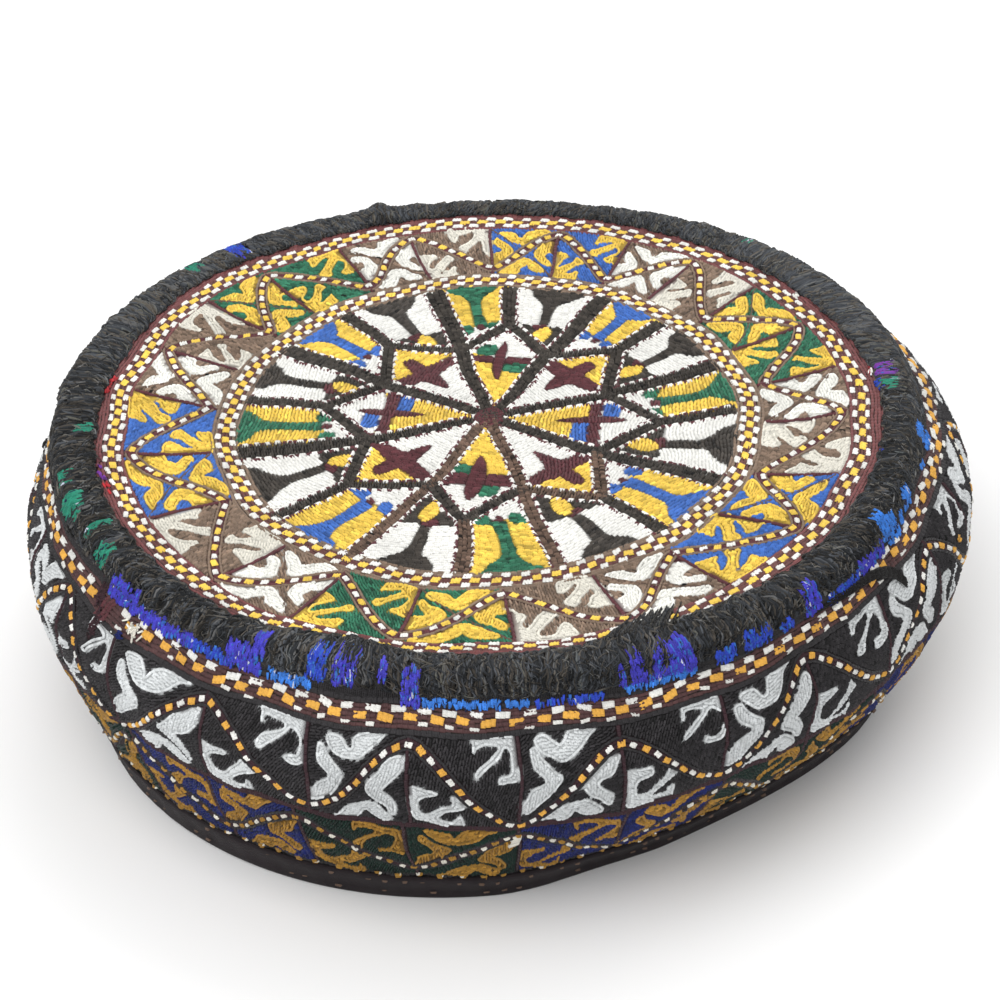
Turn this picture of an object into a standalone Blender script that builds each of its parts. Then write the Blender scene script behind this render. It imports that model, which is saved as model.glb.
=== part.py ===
"""Round embroidered skullcap: a flat crown disc, a bulging side band, a wool roll over the seam
between them, and a folded tape round the opening. Metres, +Z up; the cap rests on its tape."""

from math import cos, hypot, pi, radians, sin
from typing import NamedTuple

import bmesh
import bpy

# Driving sizes
DISC_RADIUS = 0.0860        # embroidered top, out to the inner edge of the wool roll
WOOL_ON_CROWN = 0.0050      # how far the wool covers the crown, inwards from the seam
BULGE = 0.0130              # how far the side band's outer face swells out past the seam
CROWN_HEIGHT = 0.0650       # top face of the crown cloth above the floor
CROWN_RISE = 0.0012         # how far the middle of the crown stands above its edge
CLOTH_THICKNESS = 0.0022    # crown and side band, cloth with its stitching
WOOL_THICKNESS = 0.0024     # wool roll at its thickest
WOOL_EDGE_THICKNESS = 0.0008
WOOL_ON_BAND = 0.0060       # how far down the side band the wool reaches
INNER_EDGE_GROWTH = 0.25    # how far the wool's inner edge follows the rim out of round
TAPE_THICKNESS = 0.0009
TAPE_OUTER_HEIGHT = 0.0092  # outer leg of the tape above the floor
TAPE_INNER_HEIGHT = 0.0064
TAPE_FOOT = 0.0012          # lower end of the side band above the inside of the tape's fold
CLEARANCE = 0.0003          # between neighbouring pieces
AROUND = 72                 # sections round the cap

SEAM_REACH = DISC_RADIUS + WOOL_ON_CROWN  # where crown and side band meet under the wool
WIDEST_REACH = SEAM_REACH + BULGE


class Section(NamedTuple):
    """One level of the side band's outer face, as shares of CROWN_HEIGHT and of BULGE past the seam."""
    name: str
    height: float
    swell: float


SECTIONS = (
    Section("opening", 0.000, -0.41),
    Section("tape top", 0.152, -0.02),
    Section("lower motifs", 0.326, 0.44),
    Section("between motif rows", 0.498, 0.83),
    Section("bulge low", 0.620, 0.99),
    Section("bulge high", 0.715, 1.00),
    Section("chequered border", 0.838, 0.71),
    Section("under the wool", 0.908, 0.44),
    Section("shoulder", 0.962, 0.31),
    Section("turn", 0.990, 0.16),
)


class Lobe(NamedTuple):
    """How far one level is from round, as shares of WIDEST_REACH, and the azimuth it leans to."""
    height: float
    shift: float
    shift_to: float
    oval: float
    oval_to: float
    three: float
    three_to: float
    four: float
    four_to: float


LOBES = (
    Lobe(0.00, 0.0165, 158, 0.0220, 24, 0.0170, -14, 0.0070, -3),
    Lobe(0.46, 0.0085, 28, 0.0075, 10, 0.0135, -6, 0.0125, 5),
    Lobe(0.77, 0.0135, 70, 0.0035, 19, 0.0165, 13, 0.0090, 28),
    Lobe(1.02, 0.0050, -155, 0.0115, -31, 0.0135, 38, 0.0035, 35),
)


class Dent(NamedTuple):
    """A dent (or, below zero, a swelling) of the side band: where, how wide and how deep."""
    name: str
    azimuth: float
    half_width: float
    height: float
    half_height: float
    depth: float


DENTS = (
    Dent("joint of the band's ends", -140, 6, 0.58, 0.30, 0.009),
    Dent("slack front left", -112, 16, 0.30, 0.16, -0.007),
    Dent("press front right", -62, 15, 0.40, 0.16, 0.008),
    Dent("tucked front right", -54, 38, 0.02, 0.36, 0.036),
    Dent("flat front", -77, 13, 0.02, 0.30, 0.012),
    Dent("pucker right", -28, 8, 0.55, 0.18, 0.009),
    Dent("slack back", 74, 18, 0.45, 0.20, -0.008),
    Dent("fold back left", 138, 7, 0.50, 0.24, 0.009),
)

# Where the rings of the crown lie, as shares of its radius
CROWN_RINGS = (0.12, 0.30, 0.50, 0.70, 0.86, 0.945)


def between(places, values, place):
    """Smooth curve through (places, values), level beyond both ends."""
    if place <= places[0]:
        return values[0]
    if place >= places[-1]:
        return values[-1]
    last = len(places) - 1
    i = max(k for k in range(last) if places[k] <= place)

    def slope(k):
        low, high = max(k - 1, 0), min(k + 1, last)
        return (values[high] - values[low]) / (places[high] - places[low])

    span = places[i + 1] - places[i]
    t = (place - places[i]) / span
    rise = values[i] * (1 - t) ** 2 * (1 + 2 * t) + values[i + 1] * t * t * (3 - 2 * t)
    return rise + span * (slope(i) * t * (1 - t) ** 2 - slope(i + 1) * t * t * (1 - t))


def lobe_share(azimuth, height_share):
    """How much further out than a circle the cap is here, as a share of WIDEST_REACH."""
    places = [lobe.height for lobe in LOBES]
    total = 0.0
    for order, amount, toward in (
        (1, "shift", "shift_to"), (2, "oval", "oval_to"), (3, "three", "three_to"), (4, "four", "four_to"),
    ):
        waves = [
            getattr(lobe, amount) * cos(order * (azimuth - radians(getattr(lobe, toward))))
            for lobe in LOBES
        ]
        total += between(places, waves, height_share)
    return total


def bump(distance, half_width):
    """1 at no distance, smoothly down to 0 at half_width."""
    t = min(abs(distance) / half_width, 1.0)
    return (1 - t * t) ** 2


def dent_share(azimuth, height_share):
    total = 0.0
    for dent in DENTS:
        turn = (azimuth - radians(dent.azimuth) + pi) % (2 * pi) - pi
        total += dent.depth * bump(turn, radians(dent.half_width)) * bump(
            height_share - dent.height, dent.half_height
        )
    return total


def out_of_round(azimuth, height):
    share = height / CROWN_HEIGHT
    return WIDEST_REACH * (lobe_share(azimuth, share) - dent_share(azimuth, share))


def band_reach(azimuth, height):
    """Distance of the side band's outer face from the axis."""
    places = [section.height for section in SECTIONS] + [1.0]
    reaches = [SEAM_REACH + section.swell * BULGE for section in SECTIONS] + [SEAM_REACH]
    return between(places, reaches, height / CROWN_HEIGHT) + out_of_round(azimuth, height)


def offset(line, amounts):
    """The section line (distance from axis, height) moved outwards by an amount at each point."""
    moved = []
    for i, (r, z) in enumerate(line):
        before, after = line[max(i - 1, 0)], line[min(i + 1, len(line) - 1)]
        dr, dz = after[0] - before[0], after[1] - before[1]
        length = hypot(dr, dz)
        moved.append((r + amounts[i] * dz / length, z - amounts[i] * dr / length))
    return moved


def band_section(azimuth):
    """Closed section of the side band: outer face upwards, then the inner face downwards."""
    foot = TAPE_THICKNESS + TAPE_FOOT
    heights = [foot, TAPE_OUTER_HEIGHT] + [s.height * CROWN_HEIGHT for s in SECTIONS[2:]]
    outer = [(band_reach(azimuth, z), z) for z in heights]
    outer.append((seam_reach(azimuth), CROWN_HEIGHT))
    inner = offset(outer, [-CLOTH_THICKNESS] * len(outer))
    inner[0] = (outer[0][0] - CLOTH_THICKNESS, foot)
    inner[-1] = (outer[-1][0], CROWN_HEIGHT - CLOTH_THICKNESS)
    return outer + inner[::-1]


def seam_reach(azimuth):
    return SEAM_REACH + out_of_round(azimuth, CROWN_HEIGHT)


def wool_section(azimuth):
    """Closed section of the wool roll: over the crown's edge, the seam and down the side band."""
    grow = out_of_round(azimuth, CROWN_HEIGHT)
    over_band = [CROWN_HEIGHT - WOOL_ON_BAND] + [s.height * CROWN_HEIGHT for s in SECTIONS[-2:]]
    line = [(band_reach(azimuth, z), z) for z in over_band]
    line.append((seam_reach(azimuth), CROWN_HEIGHT))
    inner_edge = DISC_RADIUS + INNER_EDGE_GROWTH * grow
    line.append(((inner_edge + SEAM_REACH + grow) / 2, CROWN_HEIGHT))
    line.append((inner_edge, CROWN_HEIGHT))
    under = offset(line, [CLEARANCE] * len(line))
    swell = (0.35, 0.85, 1.0, 1.0, 0.92, 0.0)
    depths = [WOOL_EDGE_THICKNESS + share * (WOOL_THICKNESS - WOOL_EDGE_THICKNESS) for share in swell]
    over = offset(line, [CLEARANCE + depth for depth in depths])
    return over + under[::-1]


def tape_section(azimuth):
    """Closed section of the folded tape: outer leg, flat foot, inner leg, and back along its inside."""
    lift = TAPE_THICKNESS + TAPE_FOOT
    middle = (lift + TAPE_OUTER_HEIGHT) / 2
    outside = [(band_reach(azimuth, z), z) for z in (lift, middle, TAPE_OUTER_HEIGHT)]
    reach = outside[0][0]
    slant = (outside[1][0] - reach) / (middle - lift)
    inside_top = (reach - CLOTH_THICKNESS + slant * (TAPE_INNER_HEIGHT - lift), TAPE_INNER_HEIGHT)
    gap, full = CLEARANCE, CLEARANCE + TAPE_THICKNESS
    corner = TAPE_THICKNESS * 0.6
    return [
        (inside_top[0] - full, TAPE_INNER_HEIGHT),
        (reach - CLOTH_THICKNESS - full, lift),
        (reach - CLOTH_THICKNESS - full + corner, 0.0),
        (reach + full - corner, 0.0),
        (reach + full, lift),
        (outside[1][0] + full, middle),
        (outside[2][0] + full, TAPE_OUTER_HEIGHT),
        (outside[2][0] + gap, TAPE_OUTER_HEIGHT),
        (outside[1][0] + gap, middle),
        (reach + gap, lift - CLEARANCE),
        (reach, TAPE_THICKNESS),
        (reach - CLOTH_THICKNESS, TAPE_THICKNESS),
        (reach - CLOTH_THICKNESS - gap, lift - CLEARANCE),
        (inside_top[0] - gap, TAPE_INNER_HEIGHT),
    ]


def azimuths():
    return [2 * pi * i / AROUND for i in range(AROUND)]


def plan_centre():
    """Middle of the cap's plan, so that the origin lies under the middle of its bounding box."""
    lows, highs = [1.0, 1.0], [-1.0, -1.0]
    for azimuth in azimuths():
        for r, _ in band_section(azimuth) + wool_section(azimuth) + tape_section(azimuth):
            for axis, place in enumerate((r * cos(azimuth), r * sin(azimuth))):
                lows[axis] = min(lows[axis], place)
                highs[axis] = max(highs[axis], place)
    return (lows[0] + highs[0]) / 2, (lows[1] + highs[1]) / 2


def solid_from(name, mesh, material):
    bmesh.ops.recalc_face_normals(mesh, faces=mesh.faces)
    data = bpy.data.meshes.new(name)
    mesh.to_mesh(data)
    mesh.free()
    data.shade_smooth()
    data.set_sharp_from_angle(angle=radians(50))
    data.materials.append(material)
    piece = bpy.data.objects.new(name, data)
    bpy.context.scene.collection.objects.link(piece)
    piece.location = (-CENTRE[0], -CENTRE[1], 0.0)
    return piece


def ring_piece(name, section, material):
    """A closed ring whose section at each azimuth comes from the function section."""
    mesh = bmesh.new()
    loops = [
        [mesh.verts.new((r * cos(azimuth), r * sin(azimuth), z)) for r, z in section(azimuth)]
        for azimuth in azimuths()
    ]
    for i, loop in enumerate(loops):
        after = loops[(i + 1) % AROUND]
        for k in range(len(loop)):
            n = (k + 1) % len(loop)
            mesh.faces.new((loop[k], loop[n], after[n], after[k]))
    return solid_from(name, mesh, material)


def crown_piece(name, material):
    """The flat crown: domed a little in the middle, level where the wool roll covers it."""
    mesh = bmesh.new()

    def ring(share, z):
        return [
            mesh.verts.new((
                share * (seam_reach(azimuth) - CLEARANCE) * cos(azimuth),
                share * (seam_reach(azimuth) - CLEARANCE) * sin(azimuth),
                z,
            ))
            for azimuth in azimuths()
        ]

    def join(inner, outer):
        for i in range(AROUND):
            n = (i + 1) % AROUND
            mesh.faces.new((inner[i], outer[i], outer[n], inner[n]))

    def fan(centre, outer):
        for i in range(AROUND):
            mesh.faces.new((centre, outer[i], outer[(i + 1) % AROUND]))

    def rise(share):
        return CROWN_RISE * bump(share, CROWN_RINGS[-1])

    under_height = CROWN_HEIGHT - CLOTH_THICKNESS
    top = [ring(share, CROWN_HEIGHT + rise(share)) for share in CROWN_RINGS] + [ring(1.0, CROWN_HEIGHT)]
    under_shares = CROWN_RINGS[1::2]
    under = [ring(share, under_height + rise(share)) for share in under_shares]
    under.append(ring(1.0, under_height))
    fan(mesh.verts.new((0, 0, CROWN_HEIGHT + CROWN_RISE)), top[0])
    fan(mesh.verts.new((0, 0, under_height + CROWN_RISE)), under[0])
    for rings in (top, under):
        for inner, outer in zip(rings, rings[1:]):
            join(inner, outer)
    join(top[-1], under[-1])
    return solid_from(name, mesh, material)


def cloth(name, colour, roughness):
    material = bpy.data.materials.new(name)
    material.use_nodes = True
    shader = material.node_tree.nodes["Principled BSDF"]
    shader.inputs["Base Color"].default_value = (*colour, 1.0)
    shader.inputs["Roughness"].default_value = roughness
    shader.inputs["Metallic"].default_value = 0.0
    material.diffuse_color = (*colour, 1.0)
    return material


for old in list(bpy.data.objects):
    bpy.data.objects.remove(old)

CENTRE = plan_centre()
crown_piece("crown", cloth("crown_silk", (0.52, 0.42, 0.22), 0.6))
ring_piece("side_band", band_section, cloth("band_silk", (0.16, 0.14, 0.13), 0.65))
ring_piece("wool_roll", wool_section, cloth("black_wool", (0.025, 0.023, 0.022), 0.9))
ring_piece("hem_tape", tape_section, cloth("black_tape", (0.035, 0.028, 0.028), 0.85))
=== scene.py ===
from math import atan2, cos, pi, radians, sin

import bpy
import numpy as np
from mathutils import Matrix, Vector
from mathutils.bvhtree import BVHTree


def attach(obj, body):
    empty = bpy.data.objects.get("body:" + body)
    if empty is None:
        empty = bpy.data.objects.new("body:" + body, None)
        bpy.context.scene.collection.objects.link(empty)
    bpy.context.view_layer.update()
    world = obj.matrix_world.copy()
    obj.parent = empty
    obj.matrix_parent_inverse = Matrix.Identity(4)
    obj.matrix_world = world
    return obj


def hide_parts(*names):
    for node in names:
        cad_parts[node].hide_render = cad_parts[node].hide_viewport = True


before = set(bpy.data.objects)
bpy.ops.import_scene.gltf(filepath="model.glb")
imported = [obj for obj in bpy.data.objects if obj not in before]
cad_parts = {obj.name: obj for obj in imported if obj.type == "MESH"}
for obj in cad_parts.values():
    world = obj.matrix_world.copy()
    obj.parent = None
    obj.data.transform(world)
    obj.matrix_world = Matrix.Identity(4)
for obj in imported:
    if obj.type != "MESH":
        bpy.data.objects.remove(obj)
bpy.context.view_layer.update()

# Sizes in millimetres about the cap's axis; place() turns them into the frame's metres
AXIS_X, AXIS_Y = -2.285, -0.671
CROWN_TOP = 65.0
CROWN_RISE = 1.2
CROWN_REACH = 86.0
CLOTH = 2.2
PITCH = 0.60            # between rows of stitches
LINK = 1.25             # length of one chain stitch
CELL = 0.12             # cell of the label charts
ARC = 1.79              # millimetres of the wall's chart per degree

RANDOM = np.random.default_rng(41)

COLOURS = {
    "white": (234, 233, 228),
    "petal": (239, 238, 231),
    "grey": (226, 222, 210),
    "yellow": (239, 202, 86),
    "orange": (222, 166, 72),
    # ochre: thread colour darkened as painted shade on the lower wall
    "ochre_with_painted_shade": (164, 122, 48),
    "green": (50, 112, 86),
    "blue": (66, 110, 188),
    "maroon": (92, 50, 55),
    "border_line": (120, 72, 72),
    "border_ground": (104, 66, 64),
    "brown": (132, 112, 96),
    "bar": (64, 59, 54),
    "bar_brown": (104, 84, 72),
    "black": (46, 44, 46),
    # night blue and night green: thread colours darkened as painted shade on the lower wall
    "night_blue_with_painted_shade": (18, 30, 92),
    "night_green_with_painted_shade": (8, 36, 28),
    "wall_grey": (214, 217, 218),
    "dark_maroon": (56, 34, 40),
    "row_ground": (80, 54, 54),
    "block_white": (222, 221, 216),
    "wool": (27, 25, 25),
    "silk_blue": (42, 70, 186),
    "silk_violet": (66, 62, 184),
    "silk_light": (58, 124, 214),
    "silk_green": (42, 132, 108),
    "silk_purple": (122, 60, 160),
    "silk_red": (170, 44, 50),
}


def linear(rgb):
    values = np.array(rgb, float) / 255
    return np.where(values < 0.04045, values / 12.92, ((values + 0.055) / 1.055) ** 2.4)


PALETTE = {name: linear(rgb) for name, rgb in COLOURS.items()}
# cloth colour under bars and borders: the bars' colour darkened, as painted shade between their threads
PALETTE["ground"] = PALETTE["bar"] * 0.8
PALE = ("white", "petal", "grey", "wall_grey")
UNEVEN = ("black", "bar", "brown", "night_blue_with_painted_shade", "night_green_with_painted_shade", "green", "ochre_with_painted_shade")


# Surfaces

def place(x, y, z):
    return np.stack([(x + AXIS_X) / 1000, (y + AXIS_Y) / 1000, z / 1000], axis=-1)


def cad_tree(name):
    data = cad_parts[name].data
    points = [vertex.co.copy() for vertex in data.vertices]
    return BVHTree.FromPolygons(points, [list(face.vertices) for face in data.polygons])


def hermite(places, values, wanted):
    """Smooth interpolation along the last axis of values, level beyond both ends."""
    places = np.array(places, float)
    slopes = np.zeros_like(values)
    slopes[..., 1:-1] = (values[..., 2:] - values[..., :-2]) / (places[2:] - places[:-2])
    slopes[..., 0] = (values[..., 1] - values[..., 0]) / (places[1] - places[0])
    slopes[..., -1] = (values[..., -1] - values[..., -2]) / (places[-1] - places[-2])
    wanted = np.clip(wanted, places[0], places[-1])
    i = np.clip(np.searchsorted(places, wanted, side="right") - 1, 0, len(places) - 2)
    span = places[i + 1] - places[i]
    t = (wanted - places[i]) / span
    return (
        values[..., i] * (1 - t) ** 2 * (1 + 2 * t)
        + values[..., i + 1] * t * t * (3 - 2 * t)
        + span * slopes[..., i] * t * (1 - t) ** 2
        - span * slopes[..., i + 1] * t * t * (1 - t)
    )


def wall_reaches():
    """Distance of the side band's outer face from the axis, at 720 azimuths and every half millimetre."""
    tree = cad_tree("side_band")
    heights = [2.3, 9.2, 21.2, 32.4, 40.3, 46.5, 54.5, 59.0, 62.5, 64.3]
    reaches = np.zeros((72, len(heights)))
    for i in range(72):
        turn = radians(5 * i + 0.01)
        outward = Vector((cos(turn), sin(turn), 0))
        for k, height in enumerate(heights):
            middle = Vector((AXIS_X / 1000, AXIS_Y / 1000, height / 1000))
            hit = tree.ray_cast(middle + outward * 0.2, -outward)[0]
            reaches[i, k] = (hit - middle).length * 1000
    fine = hermite(heights, reaches, np.arange(WALL_ROWS) / 2)
    closed = np.concatenate([fine[-2:], fine, fine[:3]], axis=0)
    return hermite(np.arange(-2, 75), closed.T, np.arange(720) / 10).T


WALL_ROWS = 132
REACH = wall_reaches()


def wall_normals():
    turn = np.radians(np.arange(720) / 2)[:, None]
    around = (np.roll(REACH, -1, 0) - np.roll(REACH, 1, 0)) / (2 * radians(0.5))
    upward = np.gradient(REACH, 0.5, axis=1)
    flat = np.stack([
        REACH * np.cos(turn) + around * np.sin(turn),
        REACH * np.sin(turn) - around * np.cos(turn),
        -upward * REACH,
    ], axis=-1)
    return flat / np.linalg.norm(flat, axis=-1, keepdims=True)


NORMALS = wall_normals()


def on_grid(grid, azimuth, height):
    across = np.mod(azimuth * 2, 720)
    i = np.floor(across).astype(int) % 720
    a = across - np.floor(across)
    down = np.clip(height * 2, 0, WALL_ROWS - 1.001)
    k = np.floor(down).astype(int)
    b = down - k
    n = (i + 1) % 720
    if grid.ndim == 3:
        a = a[..., None]
        b = b[..., None]
    return (
        grid[i, k] * (1 - a) * (1 - b) + grid[n, k] * a * (1 - b)
        + grid[i, k + 1] * (1 - a) * b + grid[n, k + 1] * a * b
    )


def wall_point(azimuth, height, lift):
    """Point of the wall: azimuth in degrees, height and lift off the cloth in millimetres."""
    reach = on_grid(REACH, azimuth, height)
    normal = on_grid(NORMALS, azimuth, height)
    turn = np.radians(azimuth)
    crumple = 0.22 * np.sin(azimuth * 0.41 + height * 0.21) * np.sin(height * 0.19 + azimuth * 0.13)
    crumple = crumple + 0.16 * np.sin(azimuth * 0.93 - height * 0.33 + 1.0)
    lift = lift + crumple
    x = reach * np.cos(turn) + normal[..., 0] * lift
    y = reach * np.sin(turn) + normal[..., 1] * lift
    z = height + normal[..., 2] * lift
    return place(x, y, z)


def wall_chart_point(points, lift):
    x, y = points[..., 0], points[..., 1]
    drift_x = 0.30 * np.sin(y / 3.7 + x / 9.0) + 0.25 * np.sin(x / 5.3 + 1.2)
    drift_y = 0.28 * np.sin(x / 4.9 + 0.7) + 0.22 * np.sin(x / 11.0 + y / 6.1)
    return wall_point((x + drift_x) / ARC, y + drift_y, lift)


def crown_height(x, y):
    share = np.clip(np.hypot(x, y) / CROWN_REACH, 0, 1)
    ripple = 0.18 * np.sin(x / 9.5 + y / 21.0) * np.sin(y / 8.3 - x / 30.0 + 0.8)
    ripple = ripple + 0.10 * np.sin(x / 4.1 - y / 6.3)
    return CROWN_TOP + CROWN_RISE * (1 - share ** 2) ** 2 + ripple * (1 - share ** 4)


def crown_chart_point(points, lift):
    x, y = points[..., 0], points[..., 1]
    drift_x = 0.26 * np.sin(y / 4.3 + 0.4) + 0.20 * np.sin(x / 7.1 + y / 5.0)
    drift_y = 0.26 * np.sin(x / 4.7 + 1.9) + 0.20 * np.sin(y / 6.9 - x / 5.6)
    x = x + drift_x
    y = y + drift_y
    return place(x, y, crown_height(x, y) + lift)


# Meshes

def mesh_object(name, points, faces, material, colours=None, stitch=None, smooth=True):
    data = bpy.data.meshes.new(name)
    sizes = [face.shape for face in faces]
    data.vertices.add(len(points))
    data.vertices.foreach_set("co", np.ascontiguousarray(points, np.float32).ravel())
    corners = np.concatenate([face.ravel() for face in faces]).astype(np.int32)
    lengths = np.concatenate([np.full(count, sides) for count, sides in sizes])
    data.loops.add(len(corners))
    data.loops.foreach_set("vertex_index", corners)
    data.polygons.add(len(lengths))
    starts = np.concatenate([[0], np.cumsum(lengths)[:-1]]).astype(np.int32)
    data.polygons.foreach_set("loop_start", starts)
    if colours is not None:
        attribute = data.attributes.new("thread", "FLOAT_COLOR", "POINT")
        full = np.concatenate([colours, np.ones((len(colours), 1))], axis=1)
        attribute.data.foreach_set("color", full.astype(np.float32).ravel())
    if stitch is not None:
        attribute = data.attributes.new("stitch", "FLOAT_VECTOR", "POINT")
        attribute.data.foreach_set("vector", stitch.astype(np.float32).ravel())
    data.update(calc_edges=True)
    data.validate()
    if smooth:
        data.shade_smooth()
    data.materials.append(material)
    piece = bpy.data.objects.new(name, data)
    bpy.context.scene.collection.objects.link(piece)
    return piece


def left_of(ways):
    """Flat vectors turned a quarter to the left."""
    return np.stack([-ways[..., 1], ways[..., 0]], axis=-1)


def ring_faces(around, count, outward=True):
    """Quads of a closed ring whose section is a closed loop of points."""
    index = np.arange(around * count).reshape(around, count)
    after = np.roll(index, -1, axis=0)
    ahead = np.roll(index, -1, axis=1)
    both = np.roll(after, -1, axis=1)
    corners = [index, after, both, ahead] if outward else [index, ahead, both, after]
    return np.stack(corners, axis=-1).reshape(-1, 4)


class Stitches:
    """Stitches lying on a chart: start, end, width, base and height above the cloth, colour."""

    def __init__(self):
        self.parts = []

    def add(self, start, end, width, base, height, colour, spread=0.08, taper=0.25):
        start = np.atleast_2d(np.array(start, float))
        end = np.atleast_2d(np.array(end, float))
        n = len(start)
        if n == 0:
            return
        rgb = np.broadcast_to(PALETTE[colour] if isinstance(colour, str) else colour, (n, 3))
        light = 1 + spread * RANDOM.standard_normal((n, 1))
        rgb = np.clip(rgb * light, 0, 1)
        table = np.zeros((n, 12))
        table[:, 0:2] = start
        table[:, 2:4] = end
        table[:, 4] = width * (1 + 0.07 * RANDOM.standard_normal(n))
        table[:, 5] = base + 0.04 * RANDOM.standard_normal(n)
        table[:, 6] = height * (1 + 0.12 * RANDOM.standard_normal(n))
        table[:, 7:10] = rgb
        table[:, 10] = RANDOM.random(n)
        table[:, 11] = taper
        self.parts.append(table)

    def build(self, name, surface, material, keep=None):
        table = np.concatenate(self.parts)
        if keep is not None:
            table = table[keep(table)]
        n = len(table)
        start, end = table[:, 0:2], table[:, 2:4]
        along = end - start
        length = np.linalg.norm(along, axis=1, keepdims=True)
        along = along / np.maximum(length, 1e-6)
        side = left_of(along)
        half = table[:, 4:5] / 2
        begin = half * (1 - table[:, 11:12])
        low, high = table[:, 5], table[:, 5] + table[:, 6]
        flat = np.stack([
            start - side * begin, start + side * begin,
            end - side * half * 0.92, end + side * half * 0.92,
            start + along * np.minimum(length * 0.22, half),
            end - along * np.minimum(length * 0.2, half * 0.8),
        ], axis=1)
        lifts = np.stack([low - 0.1, low - 0.1, low - 0.1, low - 0.1, high * 0.96, high], axis=1)
        points = surface(flat, lifts).reshape(-1, 3)
        first = np.arange(n)[:, None] * 6
        quads = np.concatenate([first + np.array([corners]) for corners in ((2, 5, 4, 0), (4, 5, 3, 1))])
        ends = np.concatenate([first + np.array([corners]) for corners in ((4, 1, 0), (3, 5, 2))])
        colours = np.repeat(table[:, 7:10], 6, axis=0)
        span = length[:, 0]
        zero = np.zeros(n)
        coordinates = np.stack([
            np.stack([zero, zero, span, span, span * 0.2, span * 0.8], axis=1),
            np.stack([zero - 1, zero + 1, zero - 1, zero + 1, zero, zero], axis=1),
            np.repeat(table[:, 10:11], 6, axis=1),
        ], axis=-1).reshape(-1, 3)
        return mesh_object(name, points, [quads, ends], material, colours, coordinates)


# Curves in the charts

def smooth_curve(points, closed=True, step=0.45):
    """Points about a step apart on the rounded curve through the given ones."""
    points = np.array(points, float)
    if closed:
        ring = np.concatenate([points[-1:], points, points[:2]])
    else:
        ring = np.concatenate([2 * points[:1] - points[1:2], points, 2 * points[-1:] - points[-2:-1]])
    t = np.linspace(0, 1, 7)[:-1, None]
    pieces = []
    for a, b, c, d in zip(ring, ring[1:], ring[2:], ring[3:]):
        pieces.append(
            b + 0.5 * t * (c - a + t * (2 * a - 5 * b + 4 * c - d + t * (3 * (b - c) + d - a)))
        )
    dense = np.concatenate(pieces)
    if not closed:
        dense = np.concatenate([dense, points[-1:]])
    return evenly(dense, step, closed)


def evenly(points, step, closed=False):
    if closed:
        points = np.concatenate([points, points[:1]])
    gaps = np.linalg.norm(np.diff(points, axis=0), axis=1)
    run = np.concatenate([[0], np.cumsum(gaps)])
    count = max(2, int(round(run[-1] / step)))
    wanted = np.linspace(0, run[-1], count + 1)
    if closed:
        wanted = wanted[:-1]
    return np.stack([np.interp(wanted, run, points[:, k]) for k in range(2)], axis=1)


def side_of(points, closed=False):
    """Unit normals to the left of a line of points."""
    if closed:
        way = np.roll(points, -1, 0) - np.roll(points, 1, 0)
    else:
        way = np.gradient(points, axis=0)
    return left_of(way / np.maximum(np.linalg.norm(way, axis=1, keepdims=True), 1e-9))


def inside(polygon, x, y):
    found = np.zeros(x.shape, bool)
    before = polygon[-1]
    for point in polygon:
        if point[1] != before[1]:
            crosses = (point[1] > y) != (before[1] > y)
            slant = (before[0] - point[0]) / (before[1] - point[1])
            found ^= crosses & (x < slant * (y - point[1]) + point[0])
        before = point
    return found


def area_of(polygon):
    x, y = polygon[:, 0], polygon[:, 1]
    return 0.5 * np.sum(x * np.roll(y, -1) - np.roll(x, -1) * y)


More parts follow.
